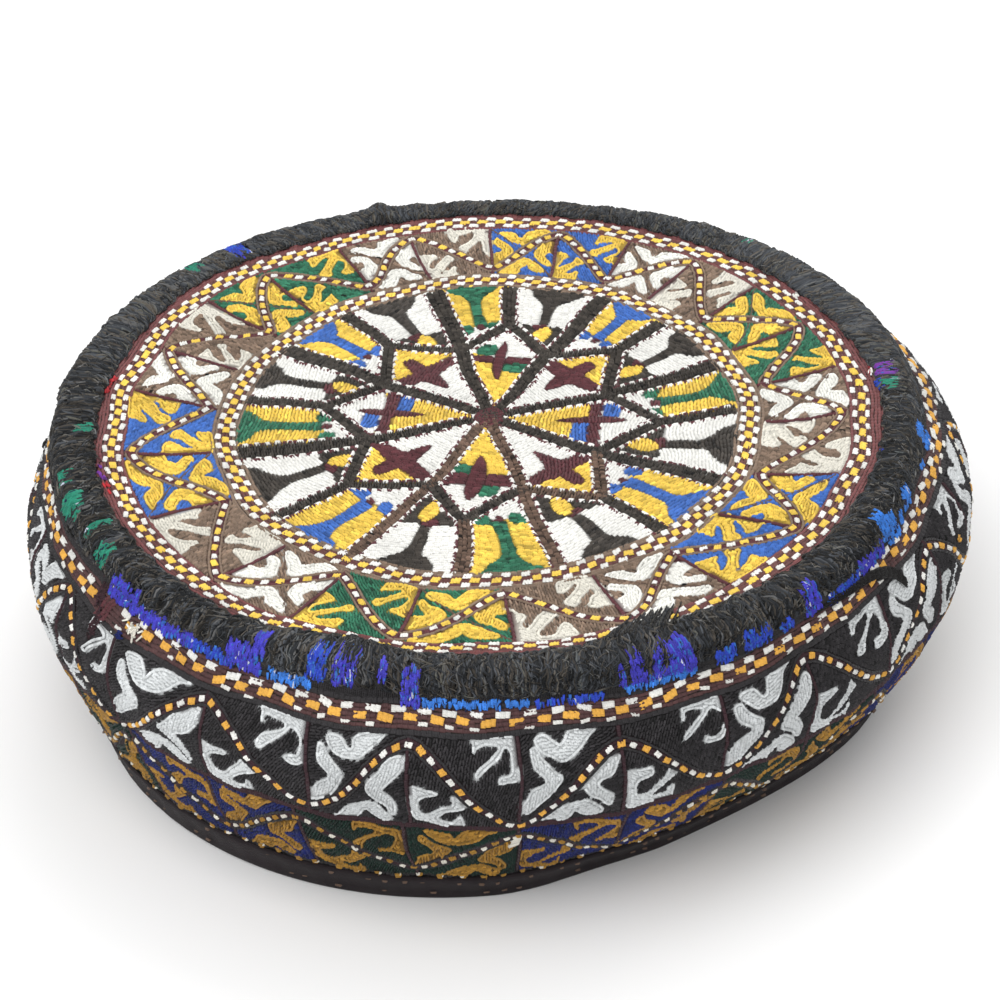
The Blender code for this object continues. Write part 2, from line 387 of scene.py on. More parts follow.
class Chart:
    """A flat drawing of embroidered cloth: labelled areas, which are then filled with rows of stitches."""

    def __init__(self, low, high, turn=None):
        self.low = np.array(low, float)
        self.size = np.ceil((np.array(high) - self.low) / CELL).astype(int)
        self.labels = np.zeros((self.size[1], self.size[0]), np.int16)
        self.areas = [None]
        self.turn = turn            # width after which the chart repeats, if it runs round the cap
        self.stitches = Stitches()

    def paint(self, polygon, colour, angle=0.0, outline=False, link=LINK, pitch=PITCH, base=0.0, height=0.42,
              lean=0.13):
        polygon = np.array(polygon, float)
        self.areas.append({
            "colour": colour, "angle": angle, "outline": polygon if outline else None, "link": link,
            "pitch": pitch, "base": base, "height": height, "lean": lean, "box": [],
        })
        self.colour_in(polygon, len(self.areas) - 1)

    def colour_in(self, polygon, label):
        shifts = (0,) if self.turn is None else (-self.turn, 0, self.turn)
        for shift in shifts:
            moved = polygon + (shift, 0)
            first = np.maximum(np.floor((moved.min(0) - self.low) / CELL).astype(int), 0)
            last = np.minimum(np.ceil((moved.max(0) - self.low) / CELL).astype(int) + 1, self.size)
            if (last <= first).any():
                continue
            x = self.low[0] + (np.arange(first[0], last[0]) + 0.5) * CELL
            y = self.low[1] + (np.arange(first[1], last[1]) + 0.5) * CELL
            mask = inside(moved, *np.meshgrid(x, y))
            self.labels[first[1]:last[1], first[0]:last[0]][mask] = label
            self.areas[label]["box"].append((first, last))

    def ground(self, line, width, colour):
        """Keeps a band along a line free of rows, with only the cloth's colour there."""
        line = np.array(line, float)
        side = side_of(line) * width / 2
        self.areas.append({"colour": colour, "box": [], "outline": None})
        for k in range(0, len(line) - 1, 12):
            near, far = line[k:k + 13], side[k:k + 13]
            self.colour_in(np.concatenate([near + far, (near - far)[::-1]]), len(self.areas) - 1)
        self.areas[-1]["box"] = []

    def label_at(self, points):
        spot = np.floor((points - self.low) / CELL).astype(int)
        if self.turn is not None:
            spot[..., 0] = np.mod(spot[..., 0], int(round(self.turn / CELL)))
        spot = np.clip(spot, 0, self.size - 1)
        return self.labels[spot[..., 1], spot[..., 0]]

    def shrink(self, mask, distance):
        steps = int(round(distance / CELL))
        for k in range(steps):
            padded = np.pad(mask, 1)
            mask = (
                padded[1:-1, 1:-1] & padded[:-2, 1:-1] & padded[2:, 1:-1]
                & padded[1:-1, :-2] & padded[1:-1, 2:]
            )
            if k % 2:
                padded = np.pad(mask, 1)
                mask = mask & padded[:-2, :-2] & padded[2:, 2:] & padded[2:, :-2] & padded[:-2, 2:]
        return mask

    def fill(self):
        """Lays the rows of every area, and a row along the edge of each outlined one."""
        for label, area in enumerate(self.areas):
            if area is None:
                continue
            if area["outline"] is not None:
                self.edge_row(label, area)
            for first, last in area["box"]:
                self.fill_box(label, area, first, last)

    def edge_row(self, label, area):
        polygon = area["outline"]
        side = side_of(polygon, closed=True) * np.sign(area_of(polygon))
        row = polygon + side * 0.33
        row = evenly(row, LINK * 0.8, closed=True)
        after = np.roll(row, -1, 0)
        good = np.linalg.norm(after - row, axis=1) > 0.3
        for spots in (row, (row + after) / 2, after):
            good &= self.label_at(spots) == label
        way = (after - row)[good]
        self.stitches.add(
            row[good] - way * 0.08, after[good] + way * 0.06, 0.74, area["base"], area["height"],
            area["colour"], spread=0.10,
        )

    def fill_box(self, label, area, first, last):
        mask = self.labels[first[1]:last[1], first[0]:last[0]] == label
        mask = self.shrink(mask, 0.46 if area["outline"] is not None else 0.14)
        if not mask.any():
            return
        corner = self.low + first * CELL
        rows, columns = np.nonzero(mask)
        middle = corner + CELL * np.array([columns.mean(), rows.mean()])
        angle = area["angle"] + 0.10 * RANDOM.standard_normal()
        along = np.array([cos(angle), sin(angle)])
        side = np.array([-sin(angle), cos(angle)])
        spots = np.stack([columns, rows], axis=1) * CELL + corner - middle
        reach = (spots @ side).min(), (spots @ side).max()
        extent = (spots @ along).min() - 0.3, (spots @ along).max() + 0.3
        count = max(1, int(round((reach[1] - reach[0]) / area["pitch"])) + 2)
        offsets = reach[0] + (np.arange(count) - 0.5) * (reach[1] - reach[0]) / max(count - 2, 1)
        step = 0.15
        places = np.arange(extent[0], extent[1], step)
        phase = RANDOM.random(2) * 6
        starts, ends, turns = [], [], []
        for turn, offset in enumerate(offsets):
            sway = 0.34 * np.sin(places / 3.1 + phase[0])
            sway = sway + 0.2 * np.sin(places / 1.7 + phase[1] + offset / 4)
            line = middle + (offset + sway)[:, None] * side + places[:, None] * along
            spot = np.floor((line - corner) / CELL).astype(int)
            good = (spot >= 0).all(1) & (spot[:, 0] < mask.shape[1]) & (spot[:, 1] < mask.shape[0])
            here = np.zeros(len(line), bool)
            here[good] = mask[spot[good, 1], spot[good, 0]]
            change = np.flatnonzero(np.diff(np.concatenate([[False], here, [False]]).astype(int)))
            for begin, stop in zip(change[::2], change[1::2]):
                length = (stop - begin) * step
                if length < 0.4:
                    continue
                number = max(1, int(round(length / area["link"])))
                marks = np.linspace(begin, stop - 1, number + 1)
                if number > 1:
                    marks[1:-1] += (RANDOM.random(number - 1) - 0.5) * 0.4 * length / number / step
                dots = line[np.clip(np.round(marks), 0, len(line) - 1).astype(int)]
                starts.append(dots[:-1])
                ends.append(dots[1:])
                turns.append(np.full(number, turn % 2 * 2 - 1))
        if starts:
            start, end = np.concatenate(starts), np.concatenate(ends)
            way = end - start
            length = np.maximum(np.linalg.norm(way, axis=1, keepdims=True), 0.2)
            way = way / length
            lean = np.concatenate(turns)[:, None] * area["lean"]
            cross = left_of(way) * (lean + 0.06 * RANDOM.standard_normal((len(start), 1)))
            width, height, spread = area["pitch"] * 1.03, area["height"], 0.16
            if area["colour"] in PALE:
                width, height, spread = area["pitch"] * 1.2, area["height"] * 0.75, 0.04
            elif area["colour"] in UNEVEN:
                spread = 0.3
            self.stitches.add(
                start - way * 0.05 - cross, end + way * 0.05 + cross, width, area["base"], height,
                area["colour"], spread=spread, taper=0.35,
            )

    def row(self, line, colour, width=0.8, link=LINK, base=0.08, height=0.4, closed=False, gap=0.0):
        """A row of stitches along a line, touching each other unless there is a gap."""
        line = evenly(np.array(line, float), link + gap, closed)
        after = np.roll(line, -1, 0) if closed else line[1:]
        line = line if closed else line[:-1]
        way = after - line
        length = np.linalg.norm(way, axis=1, keepdims=True)
        way = way / length
        end = line + way * (length - gap)
        if gap == 0:
            line = line - way * 0.1
            end = end + way * 0.1
        jitter = 0.05 * RANDOM.standard_normal(line.shape)
        self.stitches.add(line + jitter, end + jitter, width, base, height, colour)

    def blocks(self, centres, along, length, across, colour, strands=3, slant=0.2, base=0.16, height=0.5):
        """Little blocks of a few threads lying side by side across a line."""
        centres = np.array(centres, float)
        along = np.array(along, float)
        centres = centres + 0.11 * RANDOM.standard_normal(centres.shape)
        n = len(centres)
        along = along + 0.10 * RANDOM.standard_normal((n, 1)) * left_of(along)
        side = left_of(along)
        lengths = length * (1 + 0.12 * RANDOM.standard_normal((n, 1)))
        slants = slant * (1 + 0.3 * RANDOM.standard_normal((n, 1)))
        light = 1 + 0.05 * RANDOM.standard_normal((n, 1))
        rgb = PALETTE[colour] * light
        reach = along * lengths * 0.47
        lean = side * slants * across * 0.2
        self.stitches.add(
            centres - reach - lean, centres + reach - lean, np.ravel(across), base + 0.14, height * 0.75,
            rgb, 0.02, taper=0.3,
        )
        for k in range(strands):
            shift = (k - (strands - 1) / 2) * lengths / strands
            reach = across / 2 * (1 + 0.05 * RANDOM.standard_normal((n, 1)))
            start = centres + along * (shift - slants * across / 2) - side * reach
            end = centres + along * (shift + slants * across / 2) + side * reach
            self.stitches.add(
                start, end, length / strands * 1.4, base + 0.1, height * 0.75, rgb, 0.04, taper=0.2,
            )


# Motifs in a unit square

LEAVES = (
    (
        (.89, .965), (.79, .87), (.70, .785), (.60, .715), (.52, .66), (.44, .65), (.31, .725),
        (.20, .80), (.12, .88), (.14, .92), (.25, .92), (.37, .88), (.44, .80), (.47, .80), (.51, .87),
        (.56, .93), (.62, .97), (.75, .985),
    ),
    (
        (.01, .15), (.10, .18), (.19, .28), (.27, .37), (.33, .45), (.35, .53), (.30, .62), (.20, .70),
        (.11, .765), (.06, .75), (.05, .67), (.10, .62), (.16, .57), (.16, .52), (.12, .48), (.02, .465),
        (.0, .37), (0, .26),
    ),
)
WALL_LEAVES = (
    (
        (.83, 1.01), (.73, .937), (.63, .832), (.53, .757), (.43, .72), (.34, .743), (.255, .817),
        (.175, .92), (.20, .965), (.29, .97), (.375, .945), (.42, .87), (.45, .86), (.48, .94),
        (.53, .995), (.63, 1.012),
    ),
    (
        (.13, .862), (.186, .86), (.235, .772), (.30, .698), (.372, .623), (.40, .563), (.357, .473),
        (.271, .353), (.186, .263), (.086, .180), (.012, .19), (.012, .263), (.057, .363),
        (.114, .458), (.215, .518), (.24, .563), (.21, .623), (.145, .683), (.115, .757),
    ),
)
BRIGHT_HOOK = (
    (.01, .02), (.256, 0), (.437, .02), (.44, .086), (.45, .184), (.398, .168), (.341, .125),
    (.268, .10), (.179, .10), (.276, .205), (.366, .302), (.455, .367), (.41, .443), (.361, .46),
    (.31, .362), (.214, .285), (.137, .21), (.092, .195), (.078, .248), (.086, .324), (.142, .389),
    (.195, .443), (.228, .497), (.149, .535), (.057, .55), (.014, .56), (0, .454), (0, .15),
)
HOOK = (
    (.43, .05), (.41, -.005), (.21, -.015), (.02, .0), (0, .168), (.01, .317), (.04, .40), (.131, .42),
    (.20, .40), (.185, .35), (.115, .335), (.07, .302), (.06, .168), (.092, .093), (.131, .093),
    (.209, .168), (.288, .243), (.353, .317), (.393, .352), (.43, .317), (.385, .245), (.283, .175),
    (.215, .114), (.19, .063), (.288, .06), (.375, .069), (.393, .12), (.43, .125),
)
LOW_HOOK = (
    (.02, .52), (.149, .51), (.258, .505), (.27, .449), (.19, .419), (.103, .353), (.087, .234),
    (.136, .159), (.204, .174), (.30, .263), (.394, .353), (.421, .443), (.46, .473), (.495, .41),
    (.54, .353), (.462, .293), (.353, .22), (.265, .159), (.265, .11), (.353, .084), (.415, .10),
    (.43, .159), (.462, .168), (.47, .054), (.457, -.02), (.353, 0), (.163, .04), (.04, .07),
    (.02, .234), (.01, .383),
)
BRANCH = (
    (.48, 1.02), (.48, .85), (.5, .74), (.54, .74), (.59, .85), (.67, .92), (.76, .92), (.78, .85),
    (.72, .72), (.61, .61), (.54, .52), (.57, .46), (.63, .46), (.72, .57), (.83, .72), (.87, .75),
    (.89, .69), (.87, .59), (.85, .52), (.91, .49), (.93, .43), (1, .39), (1, .69), (1, 1.02),
    (.8, 1.03),
)


def long_way(polygon):
    """Angle of a polygon's longest direction."""
    spread = np.cov((polygon - polygon.mean(0)).T)
    values, ways = np.linalg.eigh(spread)
    return atan2(ways[1, 1], ways[0, 1])


def motif(chart, mapping, shape, colour, grow=0.1):
    """Paints one shape of a unit square, each time a little different, with a row along its edge."""
    u, v = (np.array(shape) + 0.012 * RANDOM.standard_normal((len(shape), 2))).T
    curve = smooth_curve(mapping(u, v))
    curve = curve - side_of(curve, closed=True) * np.sign(area_of(curve)) * grow
    chart.paint(curve, colour, angle=long_way(curve), outline=True, base=0.05, height=0.42)


def square(mapping, margin=0.0):
    """Outline of a mapped unit square."""
    t = np.linspace(margin, 1 - margin, 13)
    low, high = np.full(13, margin), np.full(13, 1 - margin)
    u = np.concatenate([t, high, t[::-1], low])
    v = np.concatenate([low, t, high, t[::-1]])
    return mapping(u, v)


def leaves(chart, mapping, ground, colour, angle, shapes, fat=0.0):
    chart.paint(square(mapping), ground, angle=angle)
    for shape in shapes:
        grow = RANDOM.uniform(0.0, 0.25) + fat
        motif(chart, mapping, shape, colour, grow)
        motif(chart, mapping, [(1 - x, 1 - y) for x, y in shape], colour, grow)


def hooks(chart, mapping, ground, colour, angle, low_shape, high_shape, high_turned=True, fat=0.0):
    chart.paint(square(mapping), ground, angle=angle)
    motif(chart, mapping, low_shape, colour, RANDOM.uniform(0.0, 0.35) + fat)
    if high_turned:
        high_shape = [(1 - x, 1 - y) for x, y in high_shape]
    motif(chart, mapping, high_shape, colour, RANDOM.uniform(0.0, 0.25) + fat)


def cord(chart, line, ground, first, second, edge, width=1.3, block=1.75, pitch=3.0, border=1.15):
    """A winding cord of alternating blocks between two thin lines."""
    fine = evenly(np.array(line, float), 0.6)
    line = evenly(np.array(line, float), pitch)
    chart.ground(fine, 2 * border + 0.5, ground)
    side = side_of(fine)
    for way in (-1, 1):
        chart.row(fine + side * way * border, edge, width=0.66, base=0.1, height=0.36)
    for offset in (-0.4, 0.4):
        chart.row(fine + side * offset, ground, width=0.95, base=-0.02, height=0.32)
    middle = (line[:-1] + line[1:]) / 2
    way = np.diff(line, axis=0)
    way = way / np.linalg.norm(way, axis=1, keepdims=True)
    chart.blocks(middle[::2], way[::2], block * 0.9, width * 0.85, first)
    chart.blocks(middle[1::2], way[1::2], block, width, second)


# The crown's chart

HUB = np.array((0.7, -2.1))
INNER_X, INNER_Y = 0.3, -2.6
INNER_WIDE, INNER_DEEP = 57.6, 58.9
SECTORS = (
    # spoke's middle, fork, spoke's end, kite's tip, stem's end, colour
    ((-3.4, 15), (-4.9, 26), (-10.6, 50), (5.6, 36.5), (7.0, 51.5), "green"),
    ((8.6, 11.5), (14.2, 22), (27.4, 44.6), (30, 23.8), (39.5, 34.2), "blue"),
    ((14, 2.4), (26.5, 5.2), (50.5, 16.3), (38.3, -5.4), (53.6, -2.2), "green"),
    ((11.6, -8.7), (23.5, -16.8), (48.3, -27.8), (24.3, -33.6), (35, -45.5), "blue"),
    ((4.4, -16.5), (7, -29.5), (13.9, -56), (-5.3, -40.4), (-6.6, -57), "green"),
    ((-6.5, -15), (-12.4, -26.3), (-29.6, -50.8), (-30.6, -25.4), (-44.8, -34.8), "blue"),
    ((-14, -5.6), (-26, -8.8), (-52.5, -11), (-35.8, 5), (-52, 10.5), "green"),
    ((-12.4, 7.3), (-22, 13.4), (-44, 29.6), (-21.8, 29), (-30.2, 43), "blue"),
)
BORDER_REACH = (
    (-180, 82.3), (-150, 83.0), (-128, 84.9), (-115, 85.0), (-90, 84.2), (-55, 84.4), (-25, 82.9),
    (10, 82.8), (45, 83.0), (90, 83.1), (118, 83.3), (128, 84.9), (138, 85.6), (147, 84.5),
    (160, 83.0), (180, 82.3),
)
CELL_EDGES = (
    # azimuth at the outer border, azimuth at the inner border
    (167.8, 173.6), (155.2, 158.2), (140.4, 142.8), (128.2, 130.3), (114.2, 115.6), (102.0, 101.7),
    (88.3, 87.7), (76.1, 74.9), (63.9, 62.4), (51.6, 50.4), (38.2, 35.6), (25.0, 21.9), (11.1, 7.35),
    (-1.7, -6.4), (-19.5, -24.7), (-35.5, -39.6), (-53.2, -55.0), (-70.5, -70.8), (-87.1, -87.9),
    (-104.5, -103.0), (-120.5, -118.2), (-135.4, -133.4), (-155.2, -152.6), (-174.1, -170.3),
    (-192.2, -186.4),
)
CELL_GROUNDS = ("brown", "green", "brown", "blue") * 3
# How much fuller the figures of the plain cells with hooks are, in millimetres
PLAIN_FAT = (-0.1, 0.0, 0.3, 0.35, 0.15, 0.25)


def border_reach(azimuth):
    places, reaches = np.array(BORDER_REACH).T
    return np.interp((np.asarray(azimuth) + 180) % 360 - 180, places, reaches)


WOOL_OVER = (
    # azimuth, distance of the wool's inner edge outside the border's middle row
    (-180, 3.8), (-160, 3.8), (-150, 3.5), (-140, 3.1), (-130, 3.1), (-121, 2.0), (-115, 0.4),
    (-111, -0.5), (-107, -0.3), (-103, 1.6), (-98, 2.6), (-80, 2.6), (-74, 2.0), (-70, 1.2),
    (-65, 1.6), (-56, 2.0), (-48, 3.0), (-35, 3.5), (-20, 3.9), (8, 4.2), (18, 3.4), (55, 3.1),
    (90, 3.2), (120, 3.4), (140, 3.8), (180, 3.8),
)


def wool_edge(azimuth):
    """Inner edge of the wool on the crown, from the axis."""
    places, offsets = np.array(WOOL_OVER).T
    ragged = 0.25 * np.sin(azimuth * 0.9) + 0.2 * np.sin(azimuth * 2.3 + 1)
    return border_reach(azimuth) + np.interp((azimuth + 180) % 360 - 180, places, offsets) + ragged


def narrow(azimuth):
    """How much narrower than elsewhere the outer border is: it dips under the wool at the front."""
    return 1 - 0.4 * np.exp(-(((np.asarray(azimuth) + 265) % 360 - 180) / 25.0) ** 2)


def inner_reach(azimuth, grow=0.0):
    """Distance from the disc's centre to the inner chequered border, an ellipse off that centre."""
    wide, deep = INNER_WIDE + grow, INNER_DEEP + grow
    c, s = np.cos(np.radians(azimuth)), np.sin(np.radians(azimuth))
    a = (c / wide) ** 2 + (s / deep) ** 2
    b = -(INNER_X * c / wide ** 2 + INNER_Y * s / deep ** 2)
    rest = (INNER_X / wide) ** 2 + (INNER_Y / deep) ** 2 - 1
    return (-b + np.sqrt(b * b - a * rest)) / a


def polar(azimuth, reach):
    turn = np.radians(azimuth)
    return np.stack([reach * np.cos(turn), reach * np.sin(turn)], axis=-1)


def ring_cell(k):
    (outer_a, inner_a), (outer_b, inner_b) = CELL_EDGES[k], CELL_EDGES[k + 1]

    def mapping(u, v):
        u, v = np.asarray(u, float), np.asarray(v, float)
        left = inner_a + (outer_a - inner_a) * v
        right = inner_b + (outer_b - inner_b) * v
        azimuth = left + (right - left) * u
        low, high = inner_reach(azimuth, 2.9), border_reach(azimuth) - 2.7 * narrow(azimuth)
        return polar(azimuth, low + (high - low) * v)

    return mapping


def crown_ring(chart):
    for k in range(24):
        mapping = ring_cell(k)
        ground = CELL_GROUNDS[k // 2]
        middle = mapping(0.5, 0.5)
        turn = atan2(middle[1], middle[0])
        plain = ground == "brown"
        if k % 2 == 0:
            leaves(chart, mapping, ground, "petal" if plain else "yellow", turn + pi / 4, LEAVES)
        elif plain:
            fat = PLAIN_FAT[k // 4]
            hooks(chart, mapping, ground, "grey", turn, BRIGHT_HOOK, BRANCH, high_turned=False, fat=fat)
        else:
            fat = 0.4 if k in (15, 23) else 0.0
            hooks(chart, mapping, ground, "yellow", turn + 0.6, BRIGHT_HOOK, BRIGHT_HOOK, fat=fat)
    for k in range(24):
        t = np.linspace(0.02, 0.98, 12)
        edge = ring_cell(k)(np.zeros(12), t)
        chart.ground(edge, 1.0, "maroon")
        chart.row(edge, "maroon", width=0.85, base=0.08, height=0.4)
        if k % 2 == 0:
            second = ring_cell(k)(t, 1 - t)
            chart.row(second, "bar_brown", width=0.55, base=0.1, height=0.36)
    turning = []
    for k in range(24):
        mapping = ring_cell(k)
        v = (0.10, 0.92) if k % 2 == 0 else (0.92, 0.10)
        for u in (0.0, 0.15, 0.3, 0.5, 0.7, 0.85):
            rise = 0.5 * u + 0.5 * (0.5 - 0.5 * cos(pi * u))
            turning.append(mapping(u, v[0] + (v[1] - v[0]) * rise))
    turning.append(turning[0])
    line = smooth_curve(turning, closed=False, step=0.5)
    cord(chart, line, "maroon", "white", "yellow", "brown")


def chequered(chart, reach, count, rows, edge_rows, ground, share, stretch):
    """Border round the crown: rows of (offset, colour, length, height, shift) on a dark ground."""
    fine = np.arange(0, 360, 0.5)
    for offset in np.arange(edge_rows[0], edge_rows[-1] + 0.01, 0.78):
        colour = "border_ground" if abs(offset) < 1.9 else ground
        circle = polar(fine, reach(fine) + offset * share(fine))
        chart.row(circle, colour, width=0.88, base=-0.02, height=0.34, closed=True)
    for offset, colour, length, across, shift in rows:
        azimuth = (np.arange(count) + shift) * 360 / count
        azimuth = azimuth + stretch * np.degrees(np.sin(np.radians(azimuth + 45)))
        scale = share(azimuth)
        spots = polar(azimuth, reach(azimuth) + offset * scale)
        along = polar(azimuth + 90, np.ones(count))
        chart.blocks(spots, along, length, across * scale[:, None], colour, strands=3, slant=0.3)


def crown_borders(chart):
    chequered(
        chart, border_reach, 116,
        ((1.3, "white", 2.1, 0.95, 0.5), (0.0, "yellow", 2.3, 1.5, 0.0), (-1.5, "white", 2.2, 1.1, 0.5)),
        (-2.4, 5.6), "border_line", narrow, 0.13,
    )
    chequered(
        chart, inner_reach, 93,
        ((1.5, "white", 1.85, 1.25, 0.5), (0.0, "yellow", 1.95, 1.5, 0.0), (-1.5, "white", 1.85, 1.25, 0.5)),
        (-2.7, 2.8), "brown", lambda azimuth: np.ones_like(azimuth), 0.0,
    )


def scraps(chart, spots):
    """Little heaps of loose thread: middle, half size, number, colour and lift of each."""
    for x, y, wide, deep, n, colour, lift in spots:
        across = x + wide * RANDOM.standard_normal(n) / 2
        middle = np.stack([across, y + deep * RANDOM.standard_normal(n) / 2], axis=1)
        turn = RANDOM.uniform(0, pi, n)
        half = np.stack([np.cos(turn), np.sin(turn)], axis=1) * RANDOM.uniform(0.3, 0.9, (n, 1))
        chart.stitches.add(middle - half, middle + half, 0.4, lift, 0.4, colour, spread=0.25, taper=0.5)


def flecks(chart):
    """Scraps of coloured thread caught along the wool's inner edge."""
    for low, high, colour, n in (
        (165.5, 169.5, "silk_red", 12), (186.5, 189.5, "maroon", 8), (189.0, 192.5, "silk_purple", 8),
        (193.5, 197.0, "silk_red", 6), (7.0, 8.5, "petal", 4), (7.5, 9.0, "silk_red", 4),
        (31.5, 32.5, "petal", 4),
    ):
        azimuth = RANDOM.uniform(low, high, n)
        spots = polar(azimuth, wool_edge(azimuth) - 0.9 + 0.3 * RANDOM.standard_normal(n))
        turn = np.radians(azimuth + 90) + 0.5 * RANDOM.standard_normal(n)
        half = np.stack([np.cos(turn), np.sin(turn)], axis=1) * RANDOM.uniform(0.4, 0.8, (n, 1))
        chart.stitches.add(spots - half, spots + half, 0.6, 0.4, 0.5, colour, spread=0.3)


# Dense short threads laid across a stripe, leaning in turn to both sides
RIBS = {"pitch": 0.78, "link": 1.7, "lean": 0.12}


def bend(a, b, c):
    """Rounded line from a through b to c."""
    return smooth_curve([a, b, c], closed=False, step=0.6)


def medallion(chart):
    n = len(SECTORS)
    nodes = [[np.array(point, float) for point in sector[:5]] for sector in SECTORS]
    fine = np.arange(0, 360, 2.0)
    chart.paint(polar(fine, inner_reach(fine, -2.4)), "bar", angle=0.0)
    for i in range(n):
        middle, fork, end, tip, stem = nodes[i]
        next_middle, next_fork, next_end, _, _ = nodes[(i + 1) % n]
        colour = SECTORS[i][5]
        outward = (stem - HUB) / np.linalg.norm(stem - HUB)
        panel(chart, end, fork, stem, tip, outward, colour, left=True)
        panel(chart, next_end, next_fork, stem, tip, outward, None, left=False)
        kite(chart, middle, fork, tip, next_fork, next_middle, i)
    lines = []
    for i in range(n):
        middle, fork, end, tip, stem = nodes[i]
        next_fork = nodes[(i + 1) % n][1]
        outward = (end - HUB) / np.linalg.norm(end - HUB)
        brown = i in (4, 5)
        spoke = smooth_curve([HUB, middle, fork, end + outward * 1.5], closed=False, step=0.6)
        widths = (2.3, 2.6) if brown else (2.2, 4.9 if i == 6 else 4.1)
        lines.append((spoke, widths, "bar_brown" if brown else "bar"))
        for corner in (fork, next_fork):
            edge = bend(corner, (corner + tip) / 2, tip)
            lines.append((edge, (2.5, 2.5), "bar_brown" if i == 3 else "bar"))
        edge = bend(tip, (tip + stem) / 2, stem + outward)
        lines.append((edge, (2.6, 3.3), "bar_brown" if i == 4 else "bar"))
    for line, widths, colour in lines:
        bar(chart, line, widths, colour)
    for line, widths, colour in lines:
        dotted_sides(chart, line, widths)
    octagon = HUB + polar(np.arange(22.5, 360, 45), 3.7)
    chart.paint(octagon, "maroon", angle=0.3, link=2.2, base=0.25, height=0.4)


def bar(chart, line, widths, colour):
    """A bar filled with rows of short threads laid across it, widening from one end to the other."""
    line = evenly(line, 0.62)
    side = side_of(line)
    width = np.linspace(*widths, len(line))[:, None]
    chart.ground(line, width, "ground")
    number = max(2, int(round(max(widths) / 1.25)))
    for k in range(number):
        slope = -left_of(side) * (0.12 + 0.06 * RANDOM.standard_normal(width.shape))
        jitter = 0.08 * RANDOM.standard_normal(line.shape)
        start = line + side * width * (k / number - 0.5) * 1.04 + jitter - slope
        end = line + side * width * ((k + 1) / number - 0.5) * 1.04 + jitter + slope
        chart.stitches.add(start, end, 0.58, 0.12, 0.5, colour, spread=0.38, taper=0.35)


def dotted_sides(chart, line, widths):
    """White running stitches over a thin line along both sides of a bar, where no other bar crosses."""
    side = side_of(line)
    width = np.linspace(*widths, len(line))[:, None]
    grounds = ~np.array([area["colour"] == "ground" if area else True for area in chart.areas])
    for way in (-1, 1):
        edge = line + side * way * (width / 2 + 0.42)
        for length, gap, thick, height, colour in (
            (1.1, 0.0, 1.0, 0.36, "maroon"), (1.5, 0.9, 1.15, 0.5, "white"),
        ):
            spots = evenly(edge, length + gap)
            step = np.diff(spots, axis=0)
            if len(step) == 0:
                continue
            start = spots[:-1]
            step = step / np.linalg.norm(step, axis=1, keepdims=True)
            end = start + step * length * (1 + 0.1 * RANDOM.standard_normal((len(start), 1)))
            outer = (start + end) / 2 + left_of(step) * way * 0.1
            free = grounds[chart.label_at(outer)]
            jitter = 0.1 * RANDOM.standard_normal(start.shape)
            skew = 0.12 * RANDOM.standard_normal(start.shape)
            chart.stitches.add(
                (start + jitter)[free], (end + jitter + skew)[free], thick, 0.1, height, colour, taper=0.1,
            )


def panel(chart, end, fork, stem, tip, outward, colour, left):
    """One of the panels between two bars: striped in colour, or white with a dark stripe."""
    reach = np.linalg.norm(stem - tip)
    level = end + (fork - end) * min(1.0, reach / np.linalg.norm(fork - end))
    border = 2.5 * outward
    ends = [end + border, (end + stem) / 2 + border * 1.5, stem + border]
    shape = [fork, tip, ends[2], ends[1], ends[0]]
    across = atan2(outward[0], -outward[1])

    def mapping(p, q):
        p, q = np.asarray(p, float)[..., None], np.asarray(q, float)[..., None]
        if left:
            near, far = end, stem
            near_tip, far_tip = level, tip
        else:
            near, far = stem, end
            near_tip, far_tip = tip, level
        a = near + (near_tip - near) * q
        b = far + (far_tip - far) * q
        return a * (1 - p) / 2 + b * (1 + p) / 2

    def area(points, fill):
        p, q = (np.array(points, float) + 0.015 * RANDOM.standard_normal((len(points), 2))).T
        chart.paint(smooth_curve(mapping(p, q)), fill, angle=across, **RIBS)

    if left:
        chart.paint(shape, "yellow", angle=across, **RIBS)
        chart.paint(
            [fork, tip, *mapping(np.array([0.9, 0.2, -0.3, -1.0]), np.array([1.0, 0.95, 1.0, 1.05]))],
            "white", angle=across + 0.6, pitch=0.7, link=1.3,
        )
        area([
            (-.68, -.16), (-.1, -.2), (.60, -.16), (.54, -.05), (.44, .04), (.30, .12), (.20, .22),
            (.17, .4), (.18, .7), (.21, .97), (-.21, .97), (-.18, .7), (-.17, .4), (-.20, .22),
            (-.31, .12), (-.48, .05), (-.62, -.04),
        ], colour)
        for p in (-.6, .55):
            area([(p - .26, .92), (p + .25, .93), (p + .27, 1.12), (p - .23, 1.13)], colour)
        area([(-.12, .95), (.14, .95), (.12, 1.06), (-.1, 1.06)], "maroon")
    else:
        chart.paint(shape, "bar", angle=across, **RIBS)
        area([
            (-.98, -.16), (-.75, -.18), (-.56, -.12), (-.48, .01), (-.34, .12), (-.19, .22), (-.15, .38),
            (-.15, .6), (-.17, .86), (-.5, .89), (-.75, .88), (-.98, .84),
        ], "white")
        area([
            (.98, -.16), (.78, -.18), (.58, -.12), (.5, .0), (.36, .11), (.2, .21), (.16, .38), (.15, .6),
            (.18, .86), (.5, .89), (.75, .9), (.98, .86),
        ], "white")
        area([(-.28, .86), (.1, .84), (.2, .95), (0, 1.04), (-.26, .98)], "maroon")
        area([(.1, .92), (.34, 1.0), (.38, 1.18), (.16, 1.42), (-.1, 1.34), (-.2, 1.12)], "yellow")


